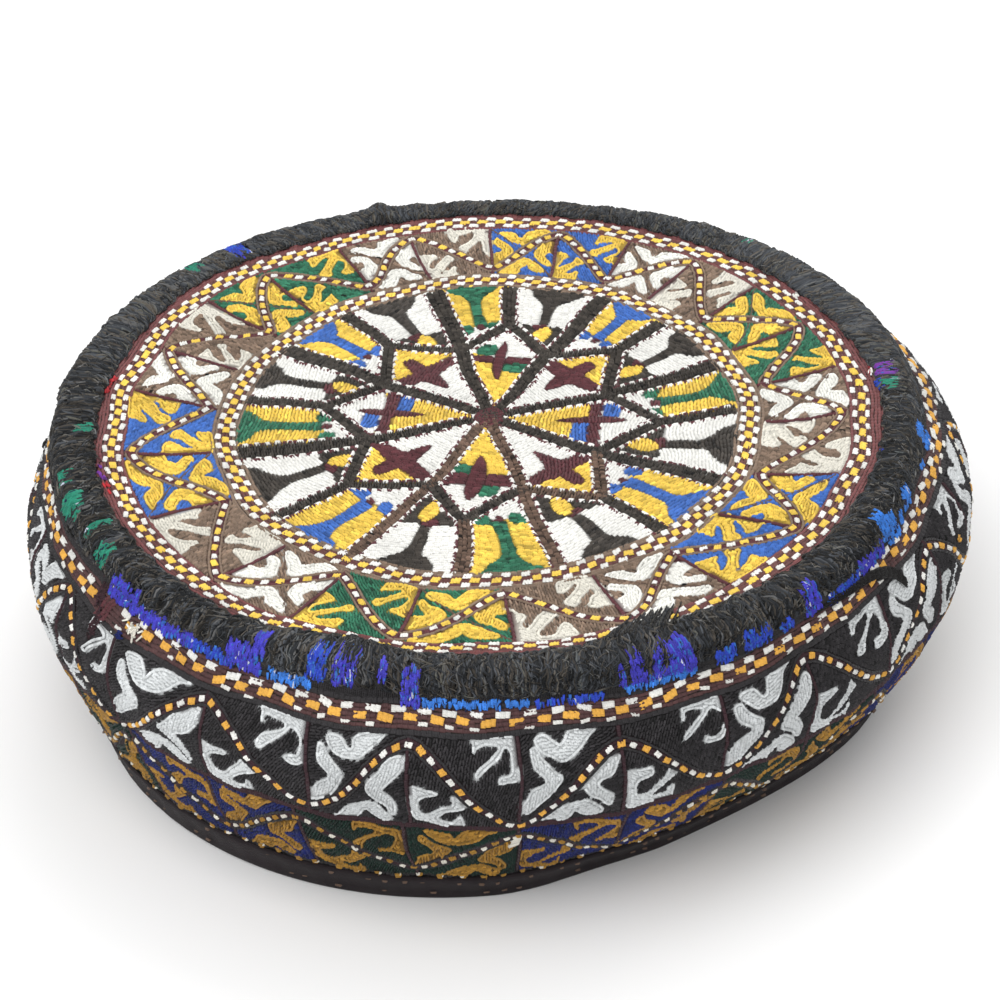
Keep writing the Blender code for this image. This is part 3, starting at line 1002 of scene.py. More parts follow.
def kite(chart, middle, fork, tip, next_fork, next_middle, i):
    """A kite between two spokes: pointed ones carry a cross, the others a star."""
    shape = [HUB, middle, fork, tip, next_fork, next_middle]
    axis = tip - HUB
    length = np.linalg.norm(axis)
    axis = axis / length
    across = np.array([axis[1], -axis[0]])
    angle = atan2(across[1], across[0])

    def at(a, b):
        return HUB + axis * a * length + across * b

    def area(points, fill, turn=0.0):
        chart.paint(smooth_curve([at(a, b) for a, b in points]), fill, angle=angle + turn, **RIBS)

    wide = abs(np.dot(fork - next_fork, across)) / 2
    if i % 2 == 0:
        colour = "green" if i in (0, 4) else "blue"
        chart.paint(shape, "white", angle=angle, **RIBS)
        chart.paint([HUB, middle, fork, at(0.62, 0), next_fork, next_middle], "yellow", angle=angle, **RIBS)
        for way, (a, reach) in ((1, (0.53, 0.75)), (-1, (0.71, 0.55))):
            area([
                (a - .045, way * 1.4), (a - .045, way * wide * reach), (a + .045, way * wide * reach * .95),
                (a + .045, way * 1.4),
            ], colour)
        fat = 1.5 if i == 4 else 1.0
        for ring in (
            ((-.036, -wide), (-.035, 0), (-.036, wide), (.03, wide * 1.02), (.037, 1.5), (.037, 0),
             (.037, -1.5), (.03, -wide * 1.02)),
            ((-.23, 0), (-.18, -.7), (-.09, -1.2), (0, -1.35), (.09, -1.2), (.15, -.8), (.2, 0),
             (.15, .8), (.09, 1.2), (0, 1.35), (-.09, 1.2), (-.18, .7)),
        ):
            level = ring[0][1] != 0
            area([(.612 + a * (fat if level else 1), b * (1 if level else fat)) for a, b in ring], "maroon")
    else:
        chart.paint(shape, "yellow", angle=angle, **RIBS)
        chart.paint([HUB, middle, fork, next_fork, next_middle], "white", angle=angle, **RIBS)
        area([
            (.41, .2), (.49, -1.3), (.56, -2.1), (.575, -4.6), (.60, -wide - .6), (.66, -wide),
            (.68, -4.4), (.685, -2.0), (.75, -1.7), (.81, -1.0), (.80, 1.4), (.74, 1.8), (.69, 2.2),
            (.68, 4.4), (.66, wide - .2), (.60, wide), (.575, 4.8), (.555, 2.2), (.49, 1.5),
        ], "maroon", turn=0.7)


def bare_borders(chart):
    """Keeps rows out of both chequered borders, which get rows and blocks of their own."""
    turns = np.arange(0, 361, 2.0)
    for reach, low, high in (
        (border_reach(turns), -2.3 * narrow(turns), 6.0), (inner_reach(turns), -2.5, 2.5),
    ):
        outer, inner = polar(turns, reach + high), polar(turns, reach + low)
        chart.paint(np.concatenate([outer, inner[::-1]]), "ground")
        chart.areas[-1]["box"] = []


CROWN = Chart((-90, -90), (90, 90))
crown_ring(CROWN)
medallion(CROWN)
bare_borders(CROWN)
CROWN.fill()
flecks(CROWN)
crown_borders(CROWN)


# The wall's chart

WALL_TURN = 360 * ARC
JOINT = 213.5           # azimuth where the ends of the side band meet
BORDER_BLOCKS = 115     # of each colour in the wall's chequered border
BANDS_MEET = 32.4       # height that parts the upper band from the lower one
SEEN_VALLEYS = ((-142.4, 31.5), (-112.6, 34.6), (-87.8, 32.9), (-62.8, 33.9), (-35.4, 35.3))
SEEN_PEAKS = ((-152.2, 54.2), (-126.5, 52.9), (-100.4, 53.1), (-75.9, 50.9), (-49.9, 53.3), (-21.9, 52.8))


def turning_points():
    """Valleys and peaks of the upper cord, in order of azimuth: as seen in front, evenly spaced behind."""
    points = []
    for k, valley in enumerate(SEEN_VALLEYS):
        points.append(valley)
        points.append(SEEN_PEAKS[k + 1])
    last, goal = SEEN_PEAKS[-1][0], SEEN_VALLEYS[0][0] + 360
    step = (goal - last) / 19
    for k in range(1, 19):
        points.append((last + step * k, 34.0 if k % 2 else 53.0))
    points[-1] = (goal - (goal - points[-2][0]) / 2, 54.0)
    return points


def wall_cell(left, right, low, high):
    def mapping(u, v):
        u, v = np.asarray(u, float), np.asarray(v, float)
        return np.stack([(left + (right - left) * u) * ARC, low + (high - low) * v], axis=-1)

    return mapping


def wave(points):
    """Smooth line over alternating valleys and peaks."""
    line = []
    for (a, low), (b, high) in zip(points, points[1:]):
        for t in np.linspace(0, 1, 12)[:-1]:
            rise = 0.5 - 0.5 * cos(pi * t)
            rise = 0.7 * rise + 0.3 * t
            line.append(((a + (b - a) * t) * ARC, low + (high - low) * rise))
    return np.array(line)


def upper_band(chart):
    turns = turning_points()
    closed = turns + [(turns[0][0] + 360, turns[0][1])]
    for k, ((a, _), (b, _)) in enumerate(zip(closed, closed[1:])):
        mapping = wall_cell(a, b, 33.0, 54.3)
        if k % 2 == 0:
            leaves(chart, mapping, "black", "wall_grey", 0.5, WALL_LEAVES)
        else:
            hooks(chart, mapping, "black", "wall_grey", 1.2, LOW_HOOK, HOOK)
    for a, _ in turns:
        edge = np.array([(a * ARC, 33.2), (a * ARC + 0.3, 44), (a * ARC, 54.2)])
        chart.ground(evenly(edge, 1.0), 1.0, "dark_maroon")
        chart.row(edge, "dark_maroon", width=0.9, base=0.08, height=0.4)
    line = wave(closed)
    cord(
        chart, line, "dark_maroon", "white", "orange", "black", width=1.25, block=1.6, pitch=2.8, border=1.1,
    )


def lower_band(chart):
    peaks = [-141.0, -115.0, -88.0, -62.0, -37.0, -10.0]
    step = (360 - 141.0 + 10.0) / 9
    peaks += [-10.0 + step * k for k in range(1, 9)]
    peaks = [(a, 28.8) for a in peaks]
    points = []
    for (a, high), (b, _) in zip(peaks, peaks[1:] + [(peaks[0][0] + 360, 0)]):
        points.append((a, high))
        points.append(((a + b) / 2, 13.2))
    closed = points + [(points[0][0] + 360, points[0][1])]
    for k, ((a, _), (b, _)) in enumerate(zip(closed, closed[1:])):
        mapping = wall_cell(a, b, 9.6, 31.6)
        # the lower band's colours hold painted shade: darker than the threads would be
        ground = "night_blue_with_painted_shade" if (k // 2) % 2 == 0 else "night_green_with_painted_shade"
        if k % 2 == 0:
            hooks(chart, mapping, ground, "ochre_with_painted_shade", 1.2, LOW_HOOK, LOW_HOOK, fat=-0.15)
        else:
            leaves(chart, mapping, ground, "ochre_with_painted_shade", 0.5, WALL_LEAVES, fat=-0.2)
    for a, _ in points:
        edge = np.array([(a * ARC, 9.8), (a * ARC, 31.6)])
        chart.ground(evenly(edge, 1.0), 1.0, "dark_maroon")
        chart.row(edge, "dark_maroon", width=0.85, base=0.08, height=0.4)
    line = wave(closed)
    cord(chart, line, "dark_maroon", "grey", "ochre_with_painted_shade", "black", width=1.1, block=1.5, pitch=2.9, border=1.1)


def wall_rows(chart):
    """The rows that run round the whole wall."""
    fine = np.arange(-180, 180, 1.0)

    def level(height):
        return np.stack([fine * ARC, np.full(len(fine), height)], axis=-1)

    def ring(at, colour, **options):
        line = np.concatenate([level(at), [(180 * ARC, at)]])
        chart.row(line, colour, **options)

    for height in np.arange(54.9, 62.6, 0.76):
        ring(height, "row_ground" if 55.5 < height < 59.2 else "black", width=0.9, base=-0.02, height=0.34)
    ring(54.6, "black", width=0.8, base=0.12, height=0.42)
    ring(59.8, "black", width=1.0, base=0.15, height=0.5)
    for height in (32.0, 32.75):
        ring(height, "dark_maroon", width=0.9, base=0.05, height=0.4)
    for height in np.arange(4.4, 9.4, 0.76):
        ring(height, "black", width=0.9, base=-0.02, height=0.34)
    n = BORDER_BLOCKS
    for height, colour, length, across, shift, share in (
        (58.2, "block_white", 2.9, 1.15, 0.5, 1.0), (56.95, "orange", 2.9, 1.3, 0.0, 1.0),
        (55.85, "block_white", 1.9, 0.65, 0.45, 0.75),
    ):
        azimuth = (np.arange(n) + shift) * 360 / n
        chosen = (RANDOM.random(n) < share) & (np.abs(azimuth - JOINT - 0.4) > 2.8)
        spots = np.stack([azimuth * ARC, np.full(n, height)], axis=-1)[chosen]
        along = np.tile((1.0, 0.0), (len(spots), 1))
        chart.blocks(spots, along, length, across, colour, strands=3, slant=0.12)
    seam = np.array([(-1.4, 54.6), (-0.6, 56.2), (-0.9, 57.6), (-0.2, 59.0)]) + (JOINT - 360, 0)
    for shift in (0.0, 0.8, 1.5):
        chart.row((seam + (shift, 0)) * (ARC, 1), "maroon", width=1.1, base=0.2, height=0.5)
    scraps(chart, (
        (-139.8 * ARC, 57.0, 2.6, 0.9, 26, "grey", 0.5),
        (-141.4 * ARC, 55.2, 1.3, 0.7, 9, "night_blue_with_painted_shade", 0.5),
        (-147.0 * ARC, 53.5, 1.0, 2.6, 60, "dark_maroon", 0.4),
        (-148.3 * ARC, 58.5, 1.6, 2.2, 60, "dark_maroon", 0.4),
        (172.7 * ARC, 53.4, 0.4, 0.5, 40, "wool", 0.7),
        (-14.0 * ARC, 45.0, 0.7, 1.2, 6, "orange", 0.7),
    ))
    sweep = smooth_curve(
        [(-46 * ARC, 59.4), (-40 * ARC, 58.9), (-35 * ARC, 57.4), (-31 * ARC, 55.0), (-29.6 * ARC, 51.5)],
        closed=False,
    )
    for k in range(26):
        low = RANDOM.integers(0, len(sweep) - 12)
        shift = np.array([0.5, 0.9]) * RANDOM.uniform(-1, 1) + (0, 0.3)
        chart.row(sweep[low:low + 60] + shift, "wool", width=0.5, link=1.6, base=0.75, height=0.45)
    ends = [
        np.stack([np.linspace(*azimuths, 9) * ARC, np.linspace(*heights, 9)], axis=1)
        for azimuths, heights in (((-89.6, -88.9), (23.6, 28.0)), ((-88.1, -87.7), (25.2, 28.2)))
    ]
    chart.stitches.add(*ends, 0.7, 0.2, 0.5, "grey")
    satin = np.arange(-180, 180, 0.27) * ARC
    low = 60.2 + 0.1 * RANDOM.standard_normal(len(satin))
    high = 62.6 + 0.15 * RANDOM.standard_normal(len(satin))
    chart.stitches.add(np.stack([satin, low], 1), np.stack([satin + 0.15, high], 1), 0.62, 0.2, 0.5, "black")


WALL = Chart((-180 * ARC, 0), (180 * ARC, 65), turn=WALL_TURN)
upper_band(WALL)
lower_band(WALL)
for low, high in ((54.5, 64.0), (31.6, 33.1), (0.0, 9.5)):
    WALL.paint([(-180 * ARC, low), (180 * ARC, low), (180 * ARC, high), (-180 * ARC, high)], "ground")
    WALL.areas[-1]["box"] = []
WALL.fill()
wall_rows(WALL)


# The wool roll

LUMPS = (
    # azimuth, half width in degrees, extra thickness in millimetres
    (105.0, 1.3, 2.4), (152.0, 2.2, 0.6), (168.0, 2.5, 0.7), (55.0, 2.0, 0.5), (-160.0, 2.5, 0.4),
)
WOOL_PAINTED_SHEEN_AND_SPREAD = (
    # azimuth, how much lighter the wool is painted there as painted light and sheen (most at the back), and
    # how uneven
    (-180, 0.85, 0.8), (-150, 0.9, 0.85), (-130, 1.05, 0.85), (-100, 1.35, 0.75), (-80, 1.35, 0.75),
    (-60, 1.0, 0.75), (-35, 0.95, 0.75), (-5, 1.1, 0.7), (12, 2.2, 0.45), (32, 2.7, 0.38),
    (50, 2.4, 0.4), (75, 2.0, 0.45), (110, 2.3, 0.45), (150, 2.4, 0.5), (168, 1.3, 0.7),
    (180, 0.85, 0.8),
)


def wool_section(azimuth, share, lift):
    """Points over the roll, from its lower edge on the wall (share 0) to its inner edge on the crown (1)."""
    seam = on_grid(REACH, azimuth, np.full_like(azimuth, 64.2)) + 0.3
    edge = wool_edge(azimuth)
    turn = np.radians(azimuth)
    thick = 1.15 + 0.18 * np.sin(azimuth * 0.31 + 1) + 0.16 * np.sin(azimuth * 0.83)
    for spot, spread, more in LUMPS:
        thick = thick + more * np.exp(-(((azimuth - spot + 180) % 360 - 180) / spread) ** 2)
    knots = []
    for height, out, up in ((61.2, 0.25, 0.0), (62.4, 0.7, 0.0), (63.6, 0.85, 0.3)):
        reach = on_grid(REACH, azimuth, np.full_like(azimuth, height))
        knots.append((reach + out * thick, np.full_like(azimuth, height + up)))
    knots.append((seam + 0.15, CROWN_TOP + thick * 0.65))
    knots.append(((seam + edge) / 2 + 0.6, CROWN_TOP + thick))
    knots.append((edge + 1.0, CROWN_TOP + thick * 0.8))
    knots.append((edge, np.full_like(azimuth, CROWN_TOP + 0.15)))
    values = np.array([np.stack(knot, axis=-1) for knot in knots])
    place_on = share * (len(knots) - 1)
    i = np.clip(np.floor(place_on).astype(int), 0, len(knots) - 2)
    t = (place_on - i)[..., None]
    rows = np.arange(len(azimuth))

    def pick(index):
        index = np.clip(index, 0, len(knots) - 1)
        return values[index, rows]

    a, b, c, d = pick(i - 1), pick(i), pick(i + 1), pick(i + 2)
    point = b + 0.5 * t * (c - a + t * (2 * a - 5 * b + 4 * c - d + t * (3 * (b - c) + d - a)))
    way = 0.5 * (c - a + 2 * t * (2 * a - 5 * b + 4 * c - d) + 3 * t * t * (3 * (b - c) + d - a))
    normal = np.stack([way[:, 1], -way[:, 0]], axis=-1)
    normal = normal / np.maximum(np.linalg.norm(normal, axis=1, keepdims=True), 1e-6)
    lifted = point + normal * lift[:, None]
    return place(lifted[:, 0] * np.cos(turn), lifted[:, 0] * np.sin(turn), lifted[:, 1])


def wool_points(azimuth, share, lift):
    azimuth, share, lift = np.broadcast_arrays(azimuth, share, lift)
    shape = azimuth.shape
    flat = wool_section(
        azimuth.ravel().astype(float), np.clip(share.ravel(), 0, 1).astype(float), lift.ravel().astype(float)
    )
    return flat.reshape(*shape, 3)


ROLL_REACH = 92         # of the roll's middle from the axis
ROLL_LEVELS = (61.2, 62.4, 63.6, 65.9, 70.9)
ROLL_SHARES = (0.0, 0.167, 0.333, 0.5, 1.0)


def roll_chart_point(points, lift):
    """Chart of roll and wall together: across in millimetres, up as height, then on over the roll."""
    azimuth, level = points[..., 0] / ARC, points[..., 1]
    low = wall_point(azimuth, np.minimum(level, 62.0), lift + 0.45)
    high = wool_points(azimuth, np.interp(level, ROLL_LEVELS, ROLL_SHARES), lift)
    blend = np.clip((level - 61.0) / 0.6, 0, 1)[..., None]
    return low * (1 - blend) + high * blend


WORN = (
    # azimuths from and to, levels from and to, colour
    (-147.2, -141, 59.2, 63.4, "silk_violet"),
    (-142, -130.6, 59.2, 62.0, "silk_violet"),
    (-131.6, -124, 59.3, 61.4, "silk_blue"),
    (-125.5, -119.8, 59.4, 64.2, "silk_violet"),
    (-121.8, -119.9, 63.6, 67.2, "silk_violet"),
    (-119, -113, 59.4, 61.6, "silk_light"),
    (-114, -111.2, 61.6, 67.8, "silk_blue"),
    (-110.6, -107.2, 61.6, 68.2, "silk_violet"),
    (-104.6, -103.4, 63.6, 67.2, "silk_violet"),
    (-101.6, -99.2, 59.3, 66.6, "silk_violet"),
    (-99, -86, 59.4, 60.9, "silk_light"),
    (-85.5, -77, 59.3, 60.5, "silk_blue"),
    (-75, -65, 59.8, 61.2, "silk_light"),
    (-75.2, -74.2, 61.0, 65.5, "silk_violet"),
    (-73.6, -71.6, 60.9, 67.0, "silk_violet"),
    (-70.8, -69.0, 60.9, 67.2, "silk_violet"),
    (-68.6, -65.3, 60.9, 67.4, "silk_violet"),
    (-73.6, -65.0, 60.9, 63.0, "silk_violet"),
    (-62.4, -59.4, 59.8, 62.8, "silk_blue"),
    (-58.2, -53.6, 60.0, 64.0, "silk_blue"),
    (-52.6, -50.0, 60.4, 62.6, "silk_blue"),
    (-48, -45, 60.2, 66.6, "silk_violet"),
    (-43.6, -37, 58.8, 61.6, "silk_blue"),
    (-37, -30, 59.2, 62.6, "silk_violet"),
    (-29.8, -27.4, 61.0, 66.6, "silk_light"),
    (-28.8, -25.0, 59.0, 64.4, "silk_light"),
    (-24.4, -22.7, 59.6, 62.0, "silk_light"),
    (-21.5, -18.6, 60.4, 64.0, "silk_light"),
    (-12, -10, 59.8, 61.2, "silk_light"),
    (-6.9, -3.6, 59.2, 64.0, "silk_light"),
    (-170.5, -167.2, 63.6, 66.6, "silk_green"),
    (-165, -161.0, 62.6, 66.9, "silk_green"),
    (-160.6, -159.4, 64.0, 66.0, "silk_green"),
    (-156.6, -154.8, 64.0, 68.6, "silk_green"),
    (-152.8, -149.6, 62.4, 66.8, "silk_green"),
    (178.6, 180.8, 67.8, 69.0, "silk_green"),
    (134.0, 136.4, 65.2, 67.6, "silk_green"),
    (126.6, 129.4, 64.8, 68.6, "silk_blue"),
    (128.0, 129.0, 67.8, 69.4, "silk_violet"),
    (46.6, 48.0, 66.0, 67.0, "silk_green"),
    (5.7, 9.6, 67.0, 69.6, "silk_purple"),
    (1.8, 5.2, 66.9, 68.8, "silk_green"),
    (2.8, 5.4, 69.2, 70.6, "silk_blue"),
    (-13.6, -12.4, 69.8, 70.8, "silk_blue"),
)


def worn_share(azimuth, level):
    """1 well inside a worn place, 0 outside, with ragged edges."""
    best = np.zeros(np.broadcast(azimuth, level).shape)
    for low, high, bottom, top, _ in WORN:
        turn = (np.asarray(azimuth) - low + 180) % 360 - 180
        width = high - low
        ragged = 0.5 * np.sin(turn * 2.9 + low) + 0.35 * np.sin(turn * 5.3)
        across = np.minimum(turn, width - turn) / 0.7
        up = np.minimum(level - bottom - 0.3 * ragged, top + ragged - level) / 0.5
        best = np.maximum(best, np.clip(np.minimum(across, up), 0, 1))
    return best


def roll_level(share):
    return np.interp(share, ROLL_SHARES, ROLL_LEVELS)


def wool_base(material):
    around, over = 720, 22
    azimuth = np.arange(around)[:, None] / 2.0
    share = np.linspace(0, 1, over)[None, :]
    worn = worn_share(azimuth, roll_level(share))
    points = wool_points(azimuth, share, -0.3 - 0.15 * worn)
    lower = wool_points(azimuth[:, :1], share[:, :1] * 0, -1.0)[:, 0]
    upper = wool_points(azimuth[:, :1], share[:, :1] * 0 + 1, -0.7)[:, 0]
    corner = wool_points(azimuth[:, :1], share[:, :1] * 0 + 0.5, -1.6)[:, 0]
    everything = np.concatenate([lower[:, None], points, upper[:, None], corner[:, None]], axis=1)
    bare = worn[:, :1] * 0
    covered = np.concatenate([bare, worn, bare, bare], axis=1).reshape(-1, 1) > 0.4
    # painted shade: the core under the threads darker than the wool and the silk over it
    rgb = np.where(covered, PALETTE["silk_blue"] * 0.5, PALETTE["wool"] * 0.6)
    quads = ring_faces(around, over + 3)
    return mesh_object("wool_core", everything.reshape(-1, 3), [quads], material, rgb, np.zeros_like(rgb))


def strands(name, azimuth, start, end, lean, bow, width, lift, rise, rgb, material, parts=4, curl=0.0):
    """Threads over the roll: each a thin ridged ribbon from one share of it to another."""
    n = len(azimuth)
    t = np.linspace(0, 1, parts + 1)[None, :]
    share = start[:, None] + (end - start)[:, None] * t
    turn = azimuth[:, None] + lean[:, None] * (t - 0.5) + bow[:, None] * np.sin(pi * t)
    turn = turn + curl * np.sin(5.2 * pi * t + 2.0 * azimuth[:, None])
    half = np.degrees(width[:, None] / 2 / ROLL_REACH)
    half = half * np.clip(1.6 * np.sin(pi * (0.08 + 0.84 * t)), 0.1, 1)
    ridge = lift[:, None] + rise[:, None] * np.sin(pi * np.clip(t, 0.03, 0.97)) ** 0.3
    left = wool_points(turn - half, share, lift[:, None] - 0.12)
    middle = wool_points(turn, share, ridge)
    right = wool_points(turn + half, share, lift[:, None] - 0.12)
    points = np.stack([left, middle, right], axis=2)
    index = np.arange(n * (parts + 1) * 3).reshape(n, parts + 1, 3)
    low, high = index[:, :-1], index[:, 1:]
    quads = np.concatenate([
        np.stack([low[..., 0], low[..., 1], high[..., 1], high[..., 0]], axis=-1).reshape(-1, 4),
        np.stack([low[..., 1], low[..., 2], high[..., 2], high[..., 1]], axis=-1).reshape(-1, 4),
    ])
    colours = np.repeat(rgb, (parts + 1) * 3, axis=0)
    length = np.broadcast_to(t[..., None] * 8, (n, parts + 1, 3))
    sides = np.broadcast_to(np.array([-1.0, 0, 1.0]), (n, parts + 1, 3))
    seed = np.broadcast_to(RANDOM.random(n)[:, None, None], (n, parts + 1, 3))
    stitch = np.stack([length, sides, seed], axis=-1).reshape(-1, 3)
    return mesh_object(name, points.reshape(-1, 3), [quads], material, colours, stitch)


def wool_tones(azimuth):
    """Colours of wool threads: blue-black, some brown, a few worn light, and paler at the back from painted
    sheen.
    """
    n = len(azimuth)
    places, light, uneven = np.array(WOOL_PAINTED_SHEEN_AND_SPREAD).T
    turn = (azimuth + 180) % 360 - 180
    tone = np.exp(np.interp(turn, places, uneven) * RANDOM.standard_normal(n))[:, None]
    brown = RANDOM.random((n, 1)) < 0.3
    base = np.where(brown, linear((60, 56, 51)), linear((40, 42, 45)))
    # painted light: colours scaled by azimuth, most at the back as painted sheen
    return np.clip(base * tone * np.interp(turn, places, light)[:, None], 0.002, 0.12)


def wool_yarns(material):
    """Long threads laid side by side over the roll, cut short where it is worn."""
    n = 2200
    azimuth = (np.arange(n) + 0.5 * RANDOM.standard_normal(n)) * 360 / n
    start = 0.06 + 0.07 * RANDOM.random(n) ** 2 + 0.03 * np.sin(azimuth * 0.7)
    levels = np.linspace(61.2, 66.2, 26)
    worn = worn_share(azimuth[:, None], levels[None, :]) > 0.3
    top = np.where(worn.any(1), levels[25 - np.argmax(worn[:, ::-1], axis=1)], 0)
    crossing = RANDOM.random(n) < 0.12
    start = np.where((top > 0) & ~crossing, np.interp(top, ROLL_LEVELS, ROLL_SHARES) - 0.02, start)
    end = 0.985 - 0.05 * RANDOM.random(n) ** 2
    lean = 1.1 * np.sin(azimuth / 11.0) + 0.5 * np.sin(azimuth / 2.3) + 0.35 * RANDOM.standard_normal(n)
    bow = 0.35 * np.sin(azimuth / 5.0) + 0.15 * RANDOM.standard_normal(n)
    width = 0.52 + 0.28 * RANDOM.random(n)
    return strands(
        "wool_yarns", azimuth, start, end, lean, bow, width, -0.12 + 0.14 * RANDOM.random(n),
        0.34 + 0.12 * RANDOM.random(n), wool_tones(azimuth), material, parts=10, curl=0.2,
    )


def wool_loose(material):
    """Shorter loose threads on top of the laid ones."""
    n = 5200
    azimuth = RANDOM.random(n) * 360
    start = 0.08 + 0.84 * RANDOM.random(n)
    end = np.minimum(start + 0.06 + 0.12 * RANDOM.random(n), 0.99)
    keep = worn_share(azimuth, roll_level(start)) < 0.2
    n = keep.sum()
    calm = np.where(np.sin(np.radians(azimuth)) > 0.1, 0.5, 1.0)
    lean = 1.0 * np.sin(azimuth / 11.0) + 0.9 * calm * RANDOM.standard_normal(len(azimuth))
    return strands(
        "wool_loose", azimuth[keep], start[keep], end[keep], lean[keep], 0.4 * RANDOM.standard_normal(n),
        0.36 + 0.26 * RANDOM.random(n), 0.08 + 0.2 * RANDOM.random(n), 0.3 + 0.15 * RANDOM.random(n),
        wool_tones(azimuth[keep]), material,
    )


def wool_fuzz(material):
    n = 2600
    azimuth = RANDOM.random(n) * 360
    start = 0.05 + RANDOM.random(n) * 0.88
    end = np.clip(start + 0.04 + 0.08 * RANDOM.random(n), 0, 1.0)
    keep = worn_share(azimuth, roll_level(start)) < 0.5
    azimuth, start, end = azimuth[keep], start[keep], end[keep]
    n = len(azimuth)
    rgb = np.clip(linear((84, 81, 76)) * np.exp(0.6 * RANDOM.standard_normal((n, 1))), 0.004, 0.2)
    return strands(
        "wool_fuzz", azimuth, start, end, 0.9 * RANDOM.standard_normal(n), 0.3 * RANDOM.standard_normal(n),
        0.1 + 0.06 * RANDOM.random(n), 0.2 + 0.15 * RANDOM.random(n), 0.15 + 0.3 * RANDOM.random(n),
        rgb, material, parts=2,
    )


def wool_tuft(material):
    """Loose tuft that has come over the crown's border at the front."""
    hairs = Stitches()
    n = 190
    root = RANDOM.normal(-70.2, 2.2, n)[:, None]
    far = RANDOM.random((n, 1)) ** 1.2
    t = np.linspace(0, 1, 5)[None, :]
    spots = polar(root + (0.8 + 3.2 * far) * t ** 1.4, 87.4 - (1.4 + 5.4 * far) * t)
    tones = wool_tones(root[:, 0]) * 0.6
    for k in range(4):
        hairs.add(spots[:, k], spots[:, k + 1], 0.38, 1.1 - 0.25 * k, 0.4, tones, spread=0, taper=0.4)
    return hairs.build("wool_tuft", crown_chart_point, material)


def worn_silk(material):
    """Coloured silk that shows where the wool is worn away."""
    silk_rows = Stitches()
    for low, high, bottom, top, colour in WORN:
        width, height = (high - low) * ARC, top - bottom
        n = int(width * height / 0.22)
        azimuth = low + (high - low) * RANDOM.random(n)
        level = bottom + height * RANDOM.random(n)
        keep = worn_share(azimuth, level) > 0.15
        spots = np.stack([azimuth * ARC, level], axis=1)[keep]
        n = len(spots)
        turn = pi / 2 + 0.22 * RANDOM.standard_normal((n, 1))
        half = np.concatenate([np.cos(turn), np.sin(turn)], axis=1) * (0.5 + 0.35 * RANDOM.random((n, 1)))
        mix = RANDOM.random((n, 1))
        slow = 0.5 + 0.5 * np.sin(spots[:, :1] * 1.3 + low) * np.sin(spots[:, 1:] * 2.1 + high)
        rgb = PALETTE[colour] * (0.6 + 0.35 * RANDOM.random((n, 1)) + 0.4 * slow)
        if colour != "silk_green":
            rgb = np.where(mix < 0.12, PALETTE["silk_light"] * (0.6 + mix * 2), rgb)
        # painted highlight: a few near-white stitches as glints on the silk; painted shade: some dark navy
        # ones between
        rgb = np.where(mix > 0.985, linear((190, 196, 214)), rgb)
        rgb = np.where((mix > 0.93) & (mix < 0.985), linear((22, 24, 60)), rgb)
        silk_rows.add(spots - half, spots + half, 0.8, 0.08, 0.4, rgb, taper=0.5)
    return silk_rows.build("worn_silk", roll_chart_point, material)


# Cloth under the stitches, and the tape

COTTON = linear((96, 84, 72))


def cloth_colours_with_painted_shade(chart, flat, plain, share):
    """The cloth's colours under a chart: its stitches' colours darkened as painted shade in the gaps between
    them, less so under pale ones.
    """
    labels = chart.label_at(flat)
    colours = np.array([PALETTE[area["colour"] if area else plain] for area in chart.areas])[labels]
    pale = np.array([bool(area) and area["colour"] in PALE for area in chart.areas])[labels]
    return colours * np.where(pale, 0.8, share)[..., None]


def crown_cloth(material):
    """Closed disc of cloth: its top in the colours of the stitches darkened as painted shade, its underside
    plain.
    """
    rings, around = 96, 256
    edge = 89.5
    share = np.linspace(0, 1, rings)[1:]
    azimuth = np.arange(around) * 360 / around
    reach = share[:, None] * edge
    flat = polar(azimuth[None, :], reach)
    top = crown_chart_point(flat, np.full(flat.shape[:2], -0.12))
    # painted shade: the cloth under the crown's stitches at half their brightness
    colours = cloth_colours_with_painted_shade(CROWN, flat, "maroon", 0.5)
    under_rings = np.array([1.0, 0.8, 0.6, 0.4, 0.2])
    under = polar(azimuth[None, :], under_rings[:, None] * edge)
    below = place(under[..., 0], under[..., 1], crown_height(under[..., 0], under[..., 1]) - CLOTH)
    centre_top = crown_chart_point(np.zeros((1, 2)), np.array([-0.12]))
    centre_below = centre_top - (0, 0, CLOTH / 1000)
    points = np.concatenate([centre_top, top.reshape(-1, 3), below.reshape(-1, 3), centre_below])
    plain = np.tile(COTTON, (len(under_rings) * around + 1, 1))
    rgb = np.concatenate([PALETTE["maroon"][None, :], colours.reshape(-1, 3), plain])
    index = 1 + np.arange((len(share) + len(under_rings)) * around).reshape(-1, around)
    after = np.roll(index, -1, axis=1)
    quads = np.stack([index[:-1], index[1:], after[1:], after[:-1]], axis=-1).reshape(-1, 4)
    fan = np.stack([np.zeros(around, int), index[0], after[0]], axis=-1)
    last = len(points) - 1
    close = np.stack([np.full(around, last), after[-1], index[-1]], axis=-1)
    return mesh_object("crown_cloth", points, [quads, fan, close], material, rgb, np.zeros_like(points))


